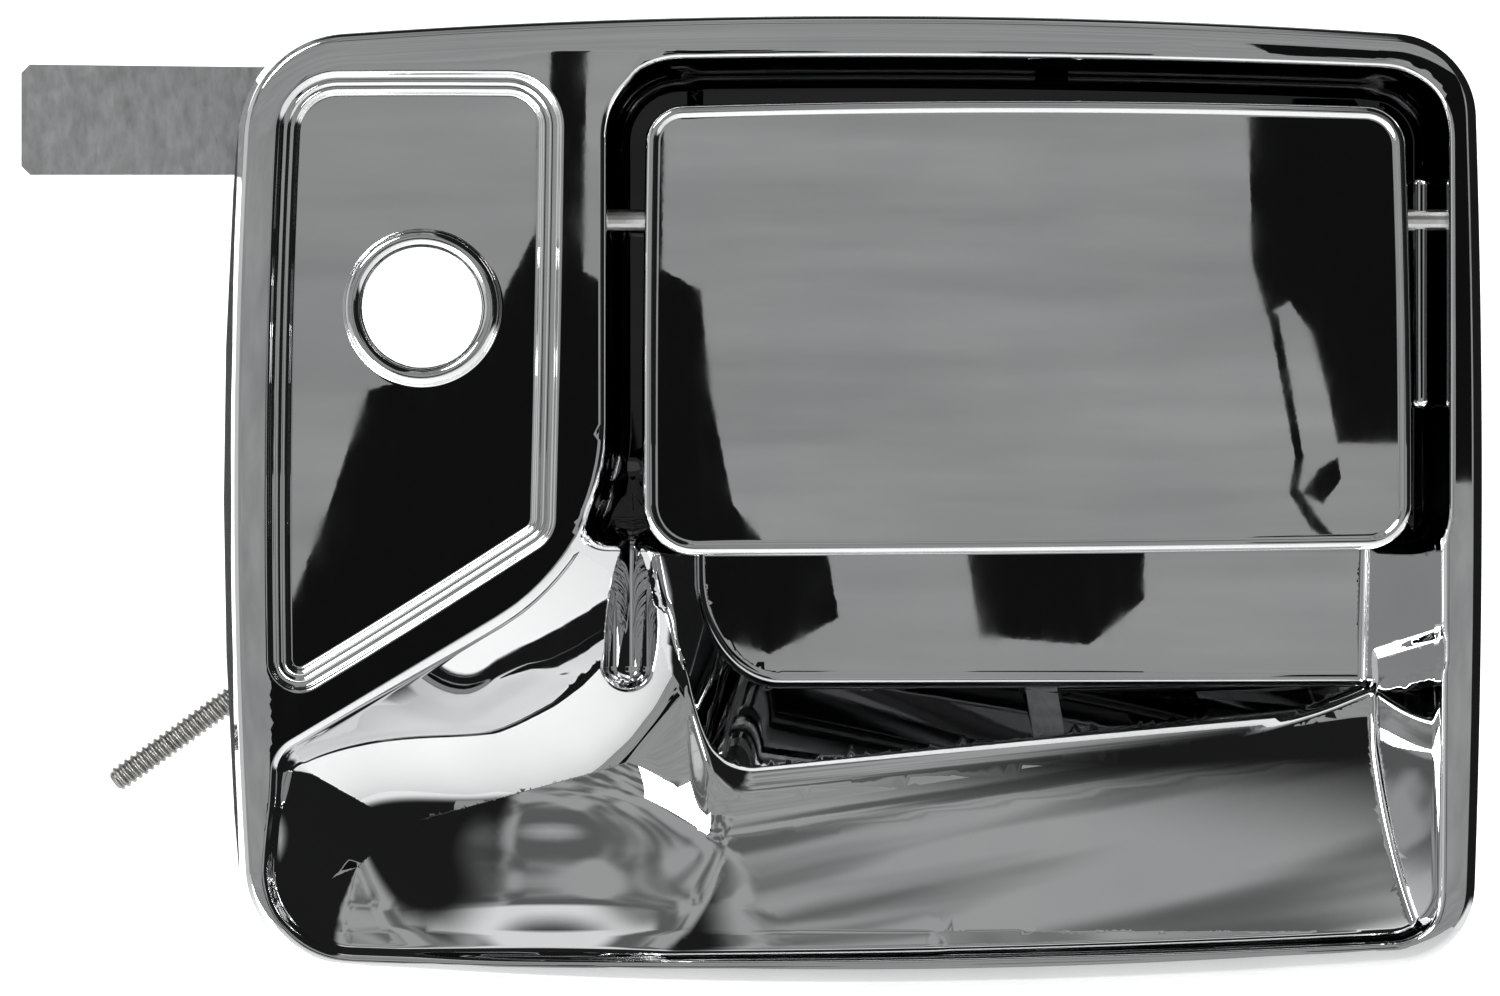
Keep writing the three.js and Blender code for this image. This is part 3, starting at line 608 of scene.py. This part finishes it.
def paddle():
    curve = outline(PADDLE, 6.0)
    rows, edges = follow_rows(PADDLE, PADDLE_ROWS, ROW_STEP)
    corners = (-34, -10), (84, 61)
    grid = hexagonal(*corners, 2.5)
    points = np.concatenate([rows, grid[inset(curve, grid)[0] > 3.8]])
    flat, triangles = triangulate(points, edges)
    y, gradient = solve(paddle_field, [curve], flat, 0.0, PADDLE_FRONT - 1, PADDLE_BACK)
    front = raised(flat, triangles, y, -gradient, -1)
    ring, normals = outline(PADDLE, ROW_STEP)
    levels = [in_space(ring - normals * depth, y) for depth, y in (
        (0, PADDLE_BACK), (0.3, PADDLE_BACK + 0.15), (1.9, PADDLE_BACK + 0.15), (2.3, PADDLE_BACK),
        (2.5, -4.0), (3.2, -7.2), (4.5, PADDLE_INSIDE),
    )]
    shell = [lofted([b, a]) for a, b in zip(levels, levels[1:])]
    inner = hexagonal(*corners, 5.0)
    inner = np.concatenate([ring - normals * 4.5, inner[inset(curve, inner)[0] > 7]])
    flat, triangles = triangulate(inner, [])
    centre_ok = inset(curve, flat[triangles].mean(1))[0] > 4.4
    to_back = np.tile([0, 1.0, 0], (len(flat), 1))
    back = raised(flat, triangles[centre_ok], PADDLE_INSIDE, to_back, 1)
    return joined("handle_paddle", [front, *shell, back])


# ---------------------------------------------------------------- tubes, threads and springs
def tube(name, points, radii, sides):
    """A closed tube along points. radii is a number or a function of (step, angle)."""
    points = [Vector(p) for p in points]
    last = len(points) - 1
    ways = [(points[min(i + 1, last)] - points[max(i - 1, 0)]).normalized() for i in range(len(points))]
    across = ways[0].orthogonal().normalized()
    out, faces = [], []
    for i, (point, way) in enumerate(zip(points, ways)):
        across = (across - way * across.dot(way)).normalized()
        up = way.cross(across)
        for k in range(sides):
            angle = 2 * math.pi * k / sides
            radius = radii(i, angle) if callable(radii) else radii
            out.append(point + (across * math.cos(angle) + up * math.sin(angle)) * radius)
    for i in range(last):
        for k in range(sides):
            a, b = i * sides + k, i * sides + (k + 1) % sides
            faces.append((a, b, b + sides, a + sides))
    head, tail = len(out), len(out) + 1
    end_ring = len(out) - sides
    faces += [(head, (k + 1) % sides, k) for k in range(sides)]
    faces += [(tail, end_ring + k, end_ring + (k + 1) % sides) for k in range(sides)]
    return mesh_object(name, [tuple(p) for p in (*out, points[0], points[-1])], faces)


def thread_depth(along, angle, pitch, depth):
    """How far below the crest a rolled thread is: rounded crests and roots."""
    phase = (along / pitch - angle / (2 * math.pi)) % 1.0
    return depth * min(1.0, max(0.0, 0.5 - 0.75 * math.cos(2 * math.pi * phase)))


ROD_BEND = Vector((-13.2, 29.0, 28.5))
ROD_END = Vector((-114.5, 29.0, -43.5))
ROD_START_Y = 20.9
ROD_RADIUS = 2.0
THREAD_LENGTH = 46.0
THREAD_PITCH = 1.1
THREAD_DEPTH = 0.42
THREAD_STEPS = 11  # along one turn of a thread
BEND_REACH = 4
STUD_RADIUS = 3.0
STUD_PITCH = 1.0
STUD_THREAD_DEPTH = 0.45
COLLAR_RADIUS = 5.1
COLLAR_LENGTH = 1.15
COLLAR_KNURLS = 24
COIL_STEPS = 36  # along one turn of a spring


def release_rod():
    way = (ROD_END - ROD_BEND).normalized()
    bend_a = Vector((ROD_BEND.x, ROD_BEND.y - BEND_REACH, ROD_BEND.z))
    bend_b = ROD_BEND + way * BEND_REACH
    path = [Vector((ROD_BEND.x, ROD_START_Y + t, ROD_BEND.z)) for t in (0, 0.15, 0.5, 2.0, 3.4)]
    for k in range(13):
        t = k / 12
        path.append(bend_a * (1 - t) ** 2 + ROD_BEND * 2 * t * (1 - t) + bend_b * t * t)
    thread_from = (ROD_END - bend_b).length - THREAD_LENGTH
    path += [bend_b + way * s for s in np.arange(3, thread_from, 3)]
    first_thread = len(path)
    steps = int(THREAD_LENGTH / THREAD_PITCH * THREAD_STEPS)
    path += [bend_b + way * (thread_from + THREAD_LENGTH * k / steps) for k in range(1, steps + 1)]

    def radius(i, angle):
        if i < first_thread:
            return ROD_RADIUS - 0.08 - (0.3 if i == 0 else 0)
        along = (i - first_thread + 1) * THREAD_LENGTH / steps
        fade = min(1.0, along / 2.5)
        cut = thread_depth(along, angle, THREAD_PITCH, THREAD_DEPTH) * fade
        chamfer = max(0.0, 0.75 - (THREAD_LENGTH - along) * 0.9)
        return ROD_RADIUS - 0.05 - max(cut, chamfer)

    return tube("release_rod_threaded", path, radius, 26)


def stud(name, place_at, root, end):
    """A pressed-in stud: a knurled collar and an M6 thread with a chamfered end."""
    x, z = place_at
    length = end - root
    steps = int(length / STUD_PITCH * THREAD_STEPS)
    path = [(x, root + length * k / steps, z) for k in range(steps + 1)]

    def radius(i, angle):
        along = length * i / steps
        if along < COLLAR_LENGTH:
            knurl = 0.08 * math.cos(angle * COLLAR_KNURLS)
            return COLLAR_RADIUS + knurl - (0.25 if along < 0.15 or along > 1.0 else 0)
        cut = thread_depth(along, angle, STUD_PITCH, STUD_THREAD_DEPTH) * min(1.0, (along - 1.1) / 1.5)
        chamfer = max(0.0, 0.9 - (length - along))
        return STUD_RADIUS - 0.04 - max(cut, chamfer)

    return tube(name, path, radius, 48)


def coil(name, centre, axis, radius, wire, start, pitch, turns, legs):
    """A torsion spring: a helix about axis ("x" or "y") with two straight legs, given as vectors."""
    path = []
    for k in range(int(turns * COIL_STEPS) + 1):
        angle = 2 * math.pi * k / COIL_STEPS
        a, b = radius * math.cos(angle), radius * math.sin(angle)
        along = start + pitch * k / COIL_STEPS
        around_x = (along, centre[1] + a, centre[2] + b)
        around_y = (centre[0] + a, along, centre[2] + b)
        path.append(Vector(around_x if axis == "x" else around_y))
    head = path[0] + Vector(legs[0])
    tail = path[-1] + Vector(legs[1])
    head_leg = [head.lerp(path[0], t) for t in (0, 0.5, 0.9)]
    tail_leg = [path[-1].lerp(tail, t) for t in (0.1, 0.5, 1)]
    return tube(name, head_leg + path + tail_leg, wire, 14)


# ---------------------------------------------------------------- materials
PAINTED_SHADE_DEPTHS = (0.002, 0.009)  # metres: shade is painted into the gap's metal, darkening it over these depths
PAINTED_SHADE_HEIGHTS = (-0.0085, -0.0055)  # and over these heights, the painted shade fading in going up
# Painted shade: a near-black base colour that stands in for the shadow in the gap behind the paddle.
PAINTED_SHADE_COLOR = (0.05, 0.05, 0.052, 1)


def nodes_of(name):
    material = bpy.data.materials.new(name)
    material.use_nodes = True
    tree = material.node_tree
    return material, tree, tree.nodes["Principled BSDF"]


def noise(tree, scale, detail=4.0, stretch=(1, 1, 1), roughness=0.5):
    coordinates = tree.nodes.new("ShaderNodeTexCoord")
    squeeze = tree.nodes.new("ShaderNodeMapping")
    squeeze.inputs["Scale"].default_value = stretch
    texture = tree.nodes.new("ShaderNodeTexNoise")
    texture.inputs["Scale"].default_value = scale
    texture.inputs["Detail"].default_value = detail
    texture.inputs["Roughness"].default_value = roughness
    tree.links.new(coordinates.outputs["Object"], squeeze.inputs["Vector"])
    tree.links.new(squeeze.outputs["Vector"], texture.inputs["Vector"])
    return texture.outputs["Fac"]


def ramp(tree, value, stops):
    node = tree.nodes.new("ShaderNodeValToRGB")
    elements = node.color_ramp.elements
    while len(elements) < len(stops):
        elements.new(0.5)
    for element, (position, shade) in zip(elements, stops):
        element.position = position
        element.color = (*shade, 1) if isinstance(shade, tuple) else (shade, shade, shade, 1)
    tree.links.new(value, node.inputs["Fac"])
    return node.outputs["Color"]


def bump(tree, shader, height, strength, distance):
    node = tree.nodes.new("ShaderNodeBump")
    node.inputs["Strength"].default_value = strength
    node.inputs["Distance"].default_value = distance
    tree.links.new(height, node.inputs["Height"])
    tree.links.new(node.outputs["Normal"], shader.inputs["Normal"])


def between(tree, value, start, end):
    """0 before start, 1 after end, smooth between."""
    node = tree.nodes.new("ShaderNodeMapRange")
    node.interpolation_type = "SMOOTHSTEP"
    node.inputs["From Min"].default_value = start
    node.inputs["From Max"].default_value = end
    tree.links.new(value, node.inputs["Value"])
    return node.outputs["Result"]


def arithmetic(tree, operation, a, b):
    node = tree.nodes.new("ShaderNodeMath")
    node.operation = operation
    for socket, value in zip(node.inputs, (a, b)):
        if isinstance(value, (int, float)):
            socket.default_value = value
        else:
            tree.links.new(value, socket)
    return node.outputs[0]


def blend_shade(tree, share, below, above):
    """below where share is 0, above where it is 1."""
    rest = arithmetic(tree, "SUBTRACT", 1.0, share)
    low = arithmetic(tree, "MULTIPLY", rest, below)
    high = arithmetic(tree, "MULTIPLY", share, above)
    return arithmetic(tree, "ADD", low, high)


def split_axes(tree, vector):
    node = tree.nodes.new("ShaderNodeSeparateXYZ")
    tree.links.new(vector, node.inputs[0])
    return node.outputs


def mixed_color(tree, share, below):
    """A mix node over the colour below; the caller sets the colour above, its input 7."""
    mix = tree.nodes.new("ShaderNodeMix")
    mix.data_type = "RGBA"
    tree.links.new(share, mix.inputs["Factor"])
    tree.links.new(below, mix.inputs[6])
    return mix


def chrome():
    """Polished in front, satin as cast where a face looks back, with shade painted near black into its
    colour in the gap behind the paddle.
    """
    material, tree, shader = nodes_of("polished_chrome")
    shader.inputs["Metallic"].default_value = 1.0
    facing = split_axes(tree, tree.nodes.new("ShaderNodeNewGeometry").outputs["True Normal"])
    behind = between(tree, facing[1], 0.02, 0.2)
    satin = arithmetic(tree, "MULTIPLY", behind, 0.3)
    bright = ramp(tree, noise(tree, 45, 3), [(0.3, (0.78, 0.79, 0.80)), (0.7, (0.84, 0.845, 0.85))])
    cast = ramp(tree, noise(tree, 160, 5), [(0.3, (0.3, 0.305, 0.31)), (0.7, (0.37, 0.375, 0.38))])
    surface = mixed_color(tree, behind, bright)
    tree.links.new(cast, surface.inputs[7])
    # Painted shade: front faces deep in the gap behind the paddle get a near-black base colour in place of
    # the shadow there.
    position = split_axes(tree, tree.nodes.new("ShaderNodeTexCoord").outputs["Object"])
    above_foot = between(tree, position[2], *PAINTED_SHADE_HEIGHTS)
    deep = arithmetic(tree, "MULTIPLY", between(tree, position[1], *PAINTED_SHADE_DEPTHS), above_foot)
    painted_shade_share = arithmetic(tree, "MULTIPLY", deep, arithmetic(tree, "SUBTRACT", 1.0, behind))
    with_painted_shade = mixed_color(tree, painted_shade_share, surface.outputs[2])
    with_painted_shade.inputs[7].default_value = PAINTED_SHADE_COLOR
    tree.links.new(with_painted_shade.outputs[2], shader.inputs["Base Color"])
    polish = ramp(tree, noise(tree, 260, 6, (1, 1, 0.35)), [(0.35, 0.008), (0.75, 0.032)])
    tree.links.new(arithmetic(tree, "ADD", satin, polish), shader.inputs["Roughness"])
    bump(tree, shader, noise(tree, 700, 2), 0.0015, 0.0002)
    return material


def metal(name, dark, light, rough, scale, stretch, height, distance):
    material, tree, shader = nodes_of(name)
    shader.inputs["Metallic"].default_value = 1.0
    grain = noise(tree, scale, 8, stretch, 0.65)
    tree.links.new(ramp(tree, grain, [(0.3, dark), (0.7, light)]), shader.inputs["Base Color"])
    tree.links.new(ramp(tree, noise(tree, scale * 0.4, 4), [(0.3, rough[0]), (0.7, rough[1])]),
                   shader.inputs["Roughness"])
    bump(tree, shader, grain, height, distance)
    return material


def dull(name, dark, light, rough, scale, height):
    material, tree, shader = nodes_of(name)
    grain = noise(tree, scale, 6)
    tree.links.new(ramp(tree, grain, [(0.3, dark), (0.7, light)]), shader.inputs["Base Color"])
    tree.links.new(ramp(tree, grain, [(0.3, rough[0]), (0.7, rough[1])]), shader.inputs["Roughness"])
    bump(tree, shader, grain, height, 0.0003)
    return material


def finish(obj, material, bevel=None):
    obj.data.materials.clear()
    obj.data.materials.append(material)
    if bevel:
        rounding = obj.modifiers.new("rounded_edges", "BEVEL")
        rounding.width = bevel * MM
        rounding.segments = 3
        rounding.limit_method = "ANGLE"
        rounding.angle_limit = math.radians(32)
        rounding.harden_normals = True


# ---------------------------------------------------------------- the object
CHROME = chrome()
ZINC = metal("cast_zinc", (0.21, 0.213, 0.215), (0.31, 0.314, 0.317), (0.4, 0.52), 750, (1, 1, 0.4),
             0.3, 0.00015)
STEEL = metal("plated_steel", (0.5, 0.5, 0.5), (0.68, 0.68, 0.67), (0.24, 0.4), 300, (1, 1, 1), 0.15, 0.0001)
ROD_STEEL = metal("rolled_steel", (0.2, 0.2, 0.19), (0.42, 0.415, 0.4), (0.34, 0.5), 500, (1, 1, 1),
                  0.2, 0.0001)
WIRE = metal("spring_wire", (0.2, 0.2, 0.21), (0.36, 0.36, 0.37), (0.3, 0.45), 600, (1, 1, 1), 0.2, 0.0001)
RUBBER = dull("black_rubber", (0.016, 0.016, 0.017), (0.04, 0.04, 0.042), (0.6, 0.85), 700, 0.35)
NYLON = dull("white_nylon", (0.62, 0.6, 0.53), (0.74, 0.72, 0.65), (0.4, 0.55), 350, 0.15)


def place(obj, body, material, slot, *replaced):
    finish(obj, material)
    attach(obj, body)
    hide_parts(*replaced)


place(escutcheon(), "escutcheon", CHROME, "chrome", "escutcheon")
place(paddle(), "paddle", CHROME, "chrome", "paddle")
place(release_rod(), "rod", ROD_STEEL, "rod_steel", "release_rod")
place(stud("threaded_stud_lock_side", STUD_LOCK_SIDE, -5.4, 15),
      "escutcheon", STEEL, "steel", "stud_lock_side")
place(stud("threaded_stud_pocket_side", STUD_POCKET_SIDE, 20.1, 36),
      "escutcheon", STEEL, "steel", "stud_pocket_side")
place(coil("paddle_return_spring", (0, HINGE_Y, HINGE_Z), "x", radius=4.4, wire=0.75, start=44, pitch=1.9,
           turns=6, legs=((0, 0, -14), (0, -3, 8))),
      "escutcheon", WIRE, "spring_steel", "paddle_spring")
place(coil("crank_return_spring", (CRANK_PIVOT[0], 0, CRANK_PIVOT[1]), "y", radius=5.6, wire=0.65, start=26,
           pitch=1.45, turns=2.5, legs=((0, 0, 6), (0, 0, -6))),
      "escutcheon", WIRE, "spring_steel", "crank_spring")

# The CAD's own meshes that the scene keeps, with the width of the bevel on their edges in millimetres.
KEPT = {
    "gasket": (RUBBER, 0.35), "hinge_pin": (STEEL, 0.3), "nut_lock_side": (STEEL, 0.35),
    "nut_pocket_side": (STEEL, 0.35), "pivot_bolt": (STEEL, 0.4), "pivot_washer": (STEEL, 0.12),
    "stop_bumper": (RUBBER, 0.4), "paddle_carrier": (ZINC, 0.5), "carrier_screw_left": (STEEL, 0.2),
    "carrier_screw_right": (STEEL, 0.2), "hinge_bush_left": (NYLON, 0.2), "hinge_bush_right": (NYLON, 0.2),
    "cam_shoe": (NYLON, 0.35), "crank": (ZINC, 0.75), "crank_bush": (NYLON, 0.15), "rod_clip": (NYLON, 0.3),
}
for node, (material, bevel) in KEPT.items():
    finish(NODES[node], material, bevel)


# ---------------------------------------------------------------- studio
def studio_object(name, corners, faces, material):
    """A flat or boxed piece of the studio; corners are in metres."""
    mesh = bpy.data.meshes.new(name)
    mesh.from_pydata(corners, [], faces)
    obj = bpy.data.objects.new(name, mesh)
    bpy.context.scene.collection.objects.link(obj)
    mesh.materials.append(material)
    return obj


def card(name, corners, y, shade, grain=0.0):
    """A flat card that faces the object: corners are (x, z) in metres. Seen in reflections only."""
    material = bpy.data.materials.new(name)
    material.use_nodes = True
    tree = material.node_tree
    tree.nodes.clear()
    glow = tree.nodes.new("ShaderNodeEmission")
    if grain:
        grey = [(0.3, (shade * (1 - grain),) * 3), (0.7, (shade * (1 + grain),) * 3)]
        tree.links.new(ramp(tree, noise(tree, 9, 6, (1, 1, 9)), grey), glow.inputs["Color"])
    else:
        glow.inputs["Color"].default_value = (shade, shade, shade, 1)
    out = tree.nodes.new("ShaderNodeOutputMaterial")
    tree.links.new(glow.outputs[0], out.inputs[0])
    obj = studio_object(name, [(x, y, z) for x, z in corners], [list(range(len(corners)))], material)
    obj.visible_camera = False
    obj.visible_shadow = False


def studio_plane(name, corners, color, strength, faces=((0, 1, 2, 3),)):
    """A plain pale surface that is only there from its front."""
    material, tree, shader = nodes_of(name)
    shader.inputs["Base Color"].default_value = (*color, 1)
    shader.inputs["Roughness"].default_value = 0.9
    shader.inputs["Emission Color"].default_value = (1, 1, 1, 1)
    shader.inputs["Emission Strength"].default_value = strength
    mix = tree.nodes.new("ShaderNodeMixShader")
    tree.links.new(tree.nodes.new("ShaderNodeNewGeometry").outputs["Backfacing"], mix.inputs[0])
    tree.links.new(shader.outputs[0], mix.inputs[1])
    tree.links.new(tree.nodes.new("ShaderNodeBsdfTransparent").outputs[0], mix.inputs[2])
    tree.links.new(mix.outputs[0], tree.nodes["Material Output"].inputs["Surface"])
    return studio_object(name, corners, faces, material)


# Shades of the surround, 0 dark to 1 white.
CEILING_SHADES = (0.12, 0.37)  # between the streaks, and in them
TUBE_SHADE = 0.8
OVERHEAD_SHADE = 0.015
LEVEL_SHADE = 0.3
STRAIGHT_DOWN_SHADE = 0.45
GROUND_SHADE = 0.95
LEFT_SHADE = 0.62
RIGHT_SHADE = 0.012


def world():
    """A studio round the object: pale at the left and below, dark at the right and above, grey in front."""
    made = bpy.data.worlds.new("studio")
    bpy.context.scene.world = made
    made.use_nodes = True
    tree = made.node_tree
    direction = tree.nodes.new("ShaderNodeTexCoord").outputs["Generated"]
    side, _, up = split_axes(tree, direction)
    squeeze = tree.nodes.new("ShaderNodeMapping")
    squeeze.inputs["Rotation"].default_value = (0, math.radians(35), 0)
    squeeze.inputs["Scale"].default_value = (5, 1.2, 9)
    tree.links.new(direction, squeeze.inputs["Vector"])
    folds = tree.nodes.new("ShaderNodeTexNoise")
    folds.inputs["Scale"].default_value = 2.2
    folds.inputs["Detail"].default_value = 1.5
    tree.links.new(squeeze.outputs["Vector"], folds.inputs["Vector"])
    streaks = between(tree, folds.outputs["Fac"], 0.38, 0.62)
    ceiling = blend_shade(tree, streaks, *CEILING_SHADES)
    tube_height = between(tree, up, 0.895, 0.912)
    tube_share = arithmetic(tree, "MULTIPLY", tube_height, between(tree, side, -0.05, 0.0))
    tube_light = blend_shade(tree, tube_share, ceiling, TUBE_SHADE)
    overhead = blend_shade(tree, between(tree, up, 0.93, 0.945), tube_light, OVERHEAD_SHADE)
    level = blend_shade(tree, between(tree, up, 0.05, 0.35), LEVEL_SHADE, overhead)
    ground = blend_shade(tree, between(tree, up, -0.92, -0.8), STRAIGHT_DOWN_SHADE, GROUND_SHADE)
    low = blend_shade(tree, between(tree, up, -0.3, -0.12), ground, level)
    with_left = blend_shade(tree, between(tree, side, -0.8, -0.9), low, LEFT_SHADE)
    above_ground = between(tree, up, -0.3, -0.16)
    right_share = arithmetic(tree, "MULTIPLY", between(tree, side, 0.08, 0.15), above_ground)
    with_right = blend_shade(tree, right_share, with_left, RIGHT_SHADE)
    tree.links.new(with_right, tree.nodes["Background"].inputs["Color"])


world()
backdrop = studio_plane(
    "studio_backdrop", [(-1.1, 0.7, -0.8), (1.1, 0.7, -0.8), (1.1, 0.7, 0.8), (-1.1, 0.7, 0.8)],
    (0.9, 0.9, 0.9), 1.15,
)
floor = studio_plane(
    "studio_floor", [(-3, -2.5, -0.5), (0.7, -2.5, -0.5), (0.7, 0.7, -0.5), (-3, 0.7, -0.5)],
    (0.85, 0.85, 0.84), 0.5,
)
# The camera sees the walls and the floor of the room; backdrop and floor light the object and show in it.
backdrop.visible_camera = floor.visible_camera = False
room = studio_plane(
    "studio_room", [(x, y, z) for x in (-4, 4) for y in (-4, 4) for z in (-3, 3)], (0.9, 0.9, 0.9), 1.15,
    ((0, 1, 5, 4), (2, 6, 7, 3), (0, 2, 3, 1), (4, 5, 7, 6), (0, 4, 6, 2), (1, 3, 7, 5)),
)
room.visible_glossy = room.visible_diffuse = room.visible_shadow = False

CARD_Y = -0.6
FLAG_SHADE = 0.006
card("grey_front", [(-0.5, -0.2), (0.32, -0.2), (0.32, 0.3), (-0.5, 0.3)], CARD_Y - 0.02, 0.31, grain=0.12)
# The dark cards: how far each hangs behind CARD_Y, and its corners.
FLAGS = {
    "flag_left": (0, [
        (-0.063, 0.12), (-0.0545, 0.12), (-0.0555, 0.053), (-0.045, 0.047), (-0.0425, 0.019),
        (-0.0365, -0.013), (-0.0265, -0.026), (-0.01, -0.0275), (-0.012, -0.05), (-0.05, -0.08),
        (-0.135, -0.11), (-0.125, -0.045), (-0.108, 0.0), (-0.1, 0.024), (-0.078, 0.03), (-0.063, 0.06),
    ]),
    "flag_strip": (0, [(-0.127, 0.11), (-0.1235, 0.11), (-0.1235, -0.06), (-0.135, -0.11), (-0.135, -0.05)]),
    "flag_pocket_left": (0, [
        (-0.036, -0.06), (-0.002, -0.06), (0.003, -0.088), (-0.012, -0.096), (-0.034, -0.09),
    ]),
    "flag_pocket_right": (0, [
        (0.03, -0.066), (0.07, -0.06), (0.07, -0.084), (0.058, -0.094), (0.034, -0.092),
    ]),
    "flag_right": (0, [
        (0.1, 0.2), (0.103, 0.055), (0.107, 0.04), (0.113, 0.044), (0.119, 0.035), (0.1235, 0.018),
        (0.126, 0.004), (0.3, 0.004), (0.3, 0.2),
    ]),
    "flag_tail": (0.001, [
        (0.107, 0.042), (0.111, 0.02), (0.1145, 0.0), (0.113, -0.01), (0.119, -0.02), (0.125, -0.0245),
        (0.1255, -0.0225), (0.1205, -0.0165), (0.1155, -0.0085), (0.1168, 0.0), (0.1135, 0.02), (0.11, 0.04),
    ]),
    "flag_knot": (0.001, [(0.1165, -0.01), (0.121, -0.003), (0.126, 0.0), (0.127, -0.006), (0.122, -0.013)]),
}
for name, (behind, corners) in FLAGS.items():
    card(name, corners, CARD_Y + behind, FLAG_SHADE)


def light(name, position, size, energy):
    """A soft lamp that shines at the origin."""
    data = bpy.data.lights.new(name, "AREA")
    data.shape = "RECTANGLE"
    data.size, data.size_y = size
    data.energy = energy
    obj = bpy.data.objects.new(name, data)
    bpy.context.scene.collection.objects.link(obj)
    obj.location = position
    obj.rotation_euler = (-Vector(position)).to_track_quat("-Z", "Y").to_euler()


light("key_soft", (-0.7, -0.9, 0.8), (0.5, 0.5), 9)
light("low_soft", (-0.5, -0.7, -0.35), (0.45, 0.3), 5)

CAMERA_DISTANCE = 1.41
VIEW_WIDTH = 0.225  # metres across the picture, at the handle's face
SENSOR = 36
camera_data = bpy.data.cameras.new("camera")
camera = bpy.data.objects.new("camera", camera_data)
bpy.context.scene.collection.objects.link(camera)
camera.location = (-0.0165, -CAMERA_DISTANCE, 0.0003)
camera.rotation_euler = (math.radians(90), 0, 0)
camera_data.sensor_width = SENSOR
camera_data.lens = SENSOR * (CAMERA_DISTANCE + FACE * MM) / VIEW_WIDTH
bpy.context.scene.camera = camera
bpy.context.scene.view_settings.view_transform = "Standard"
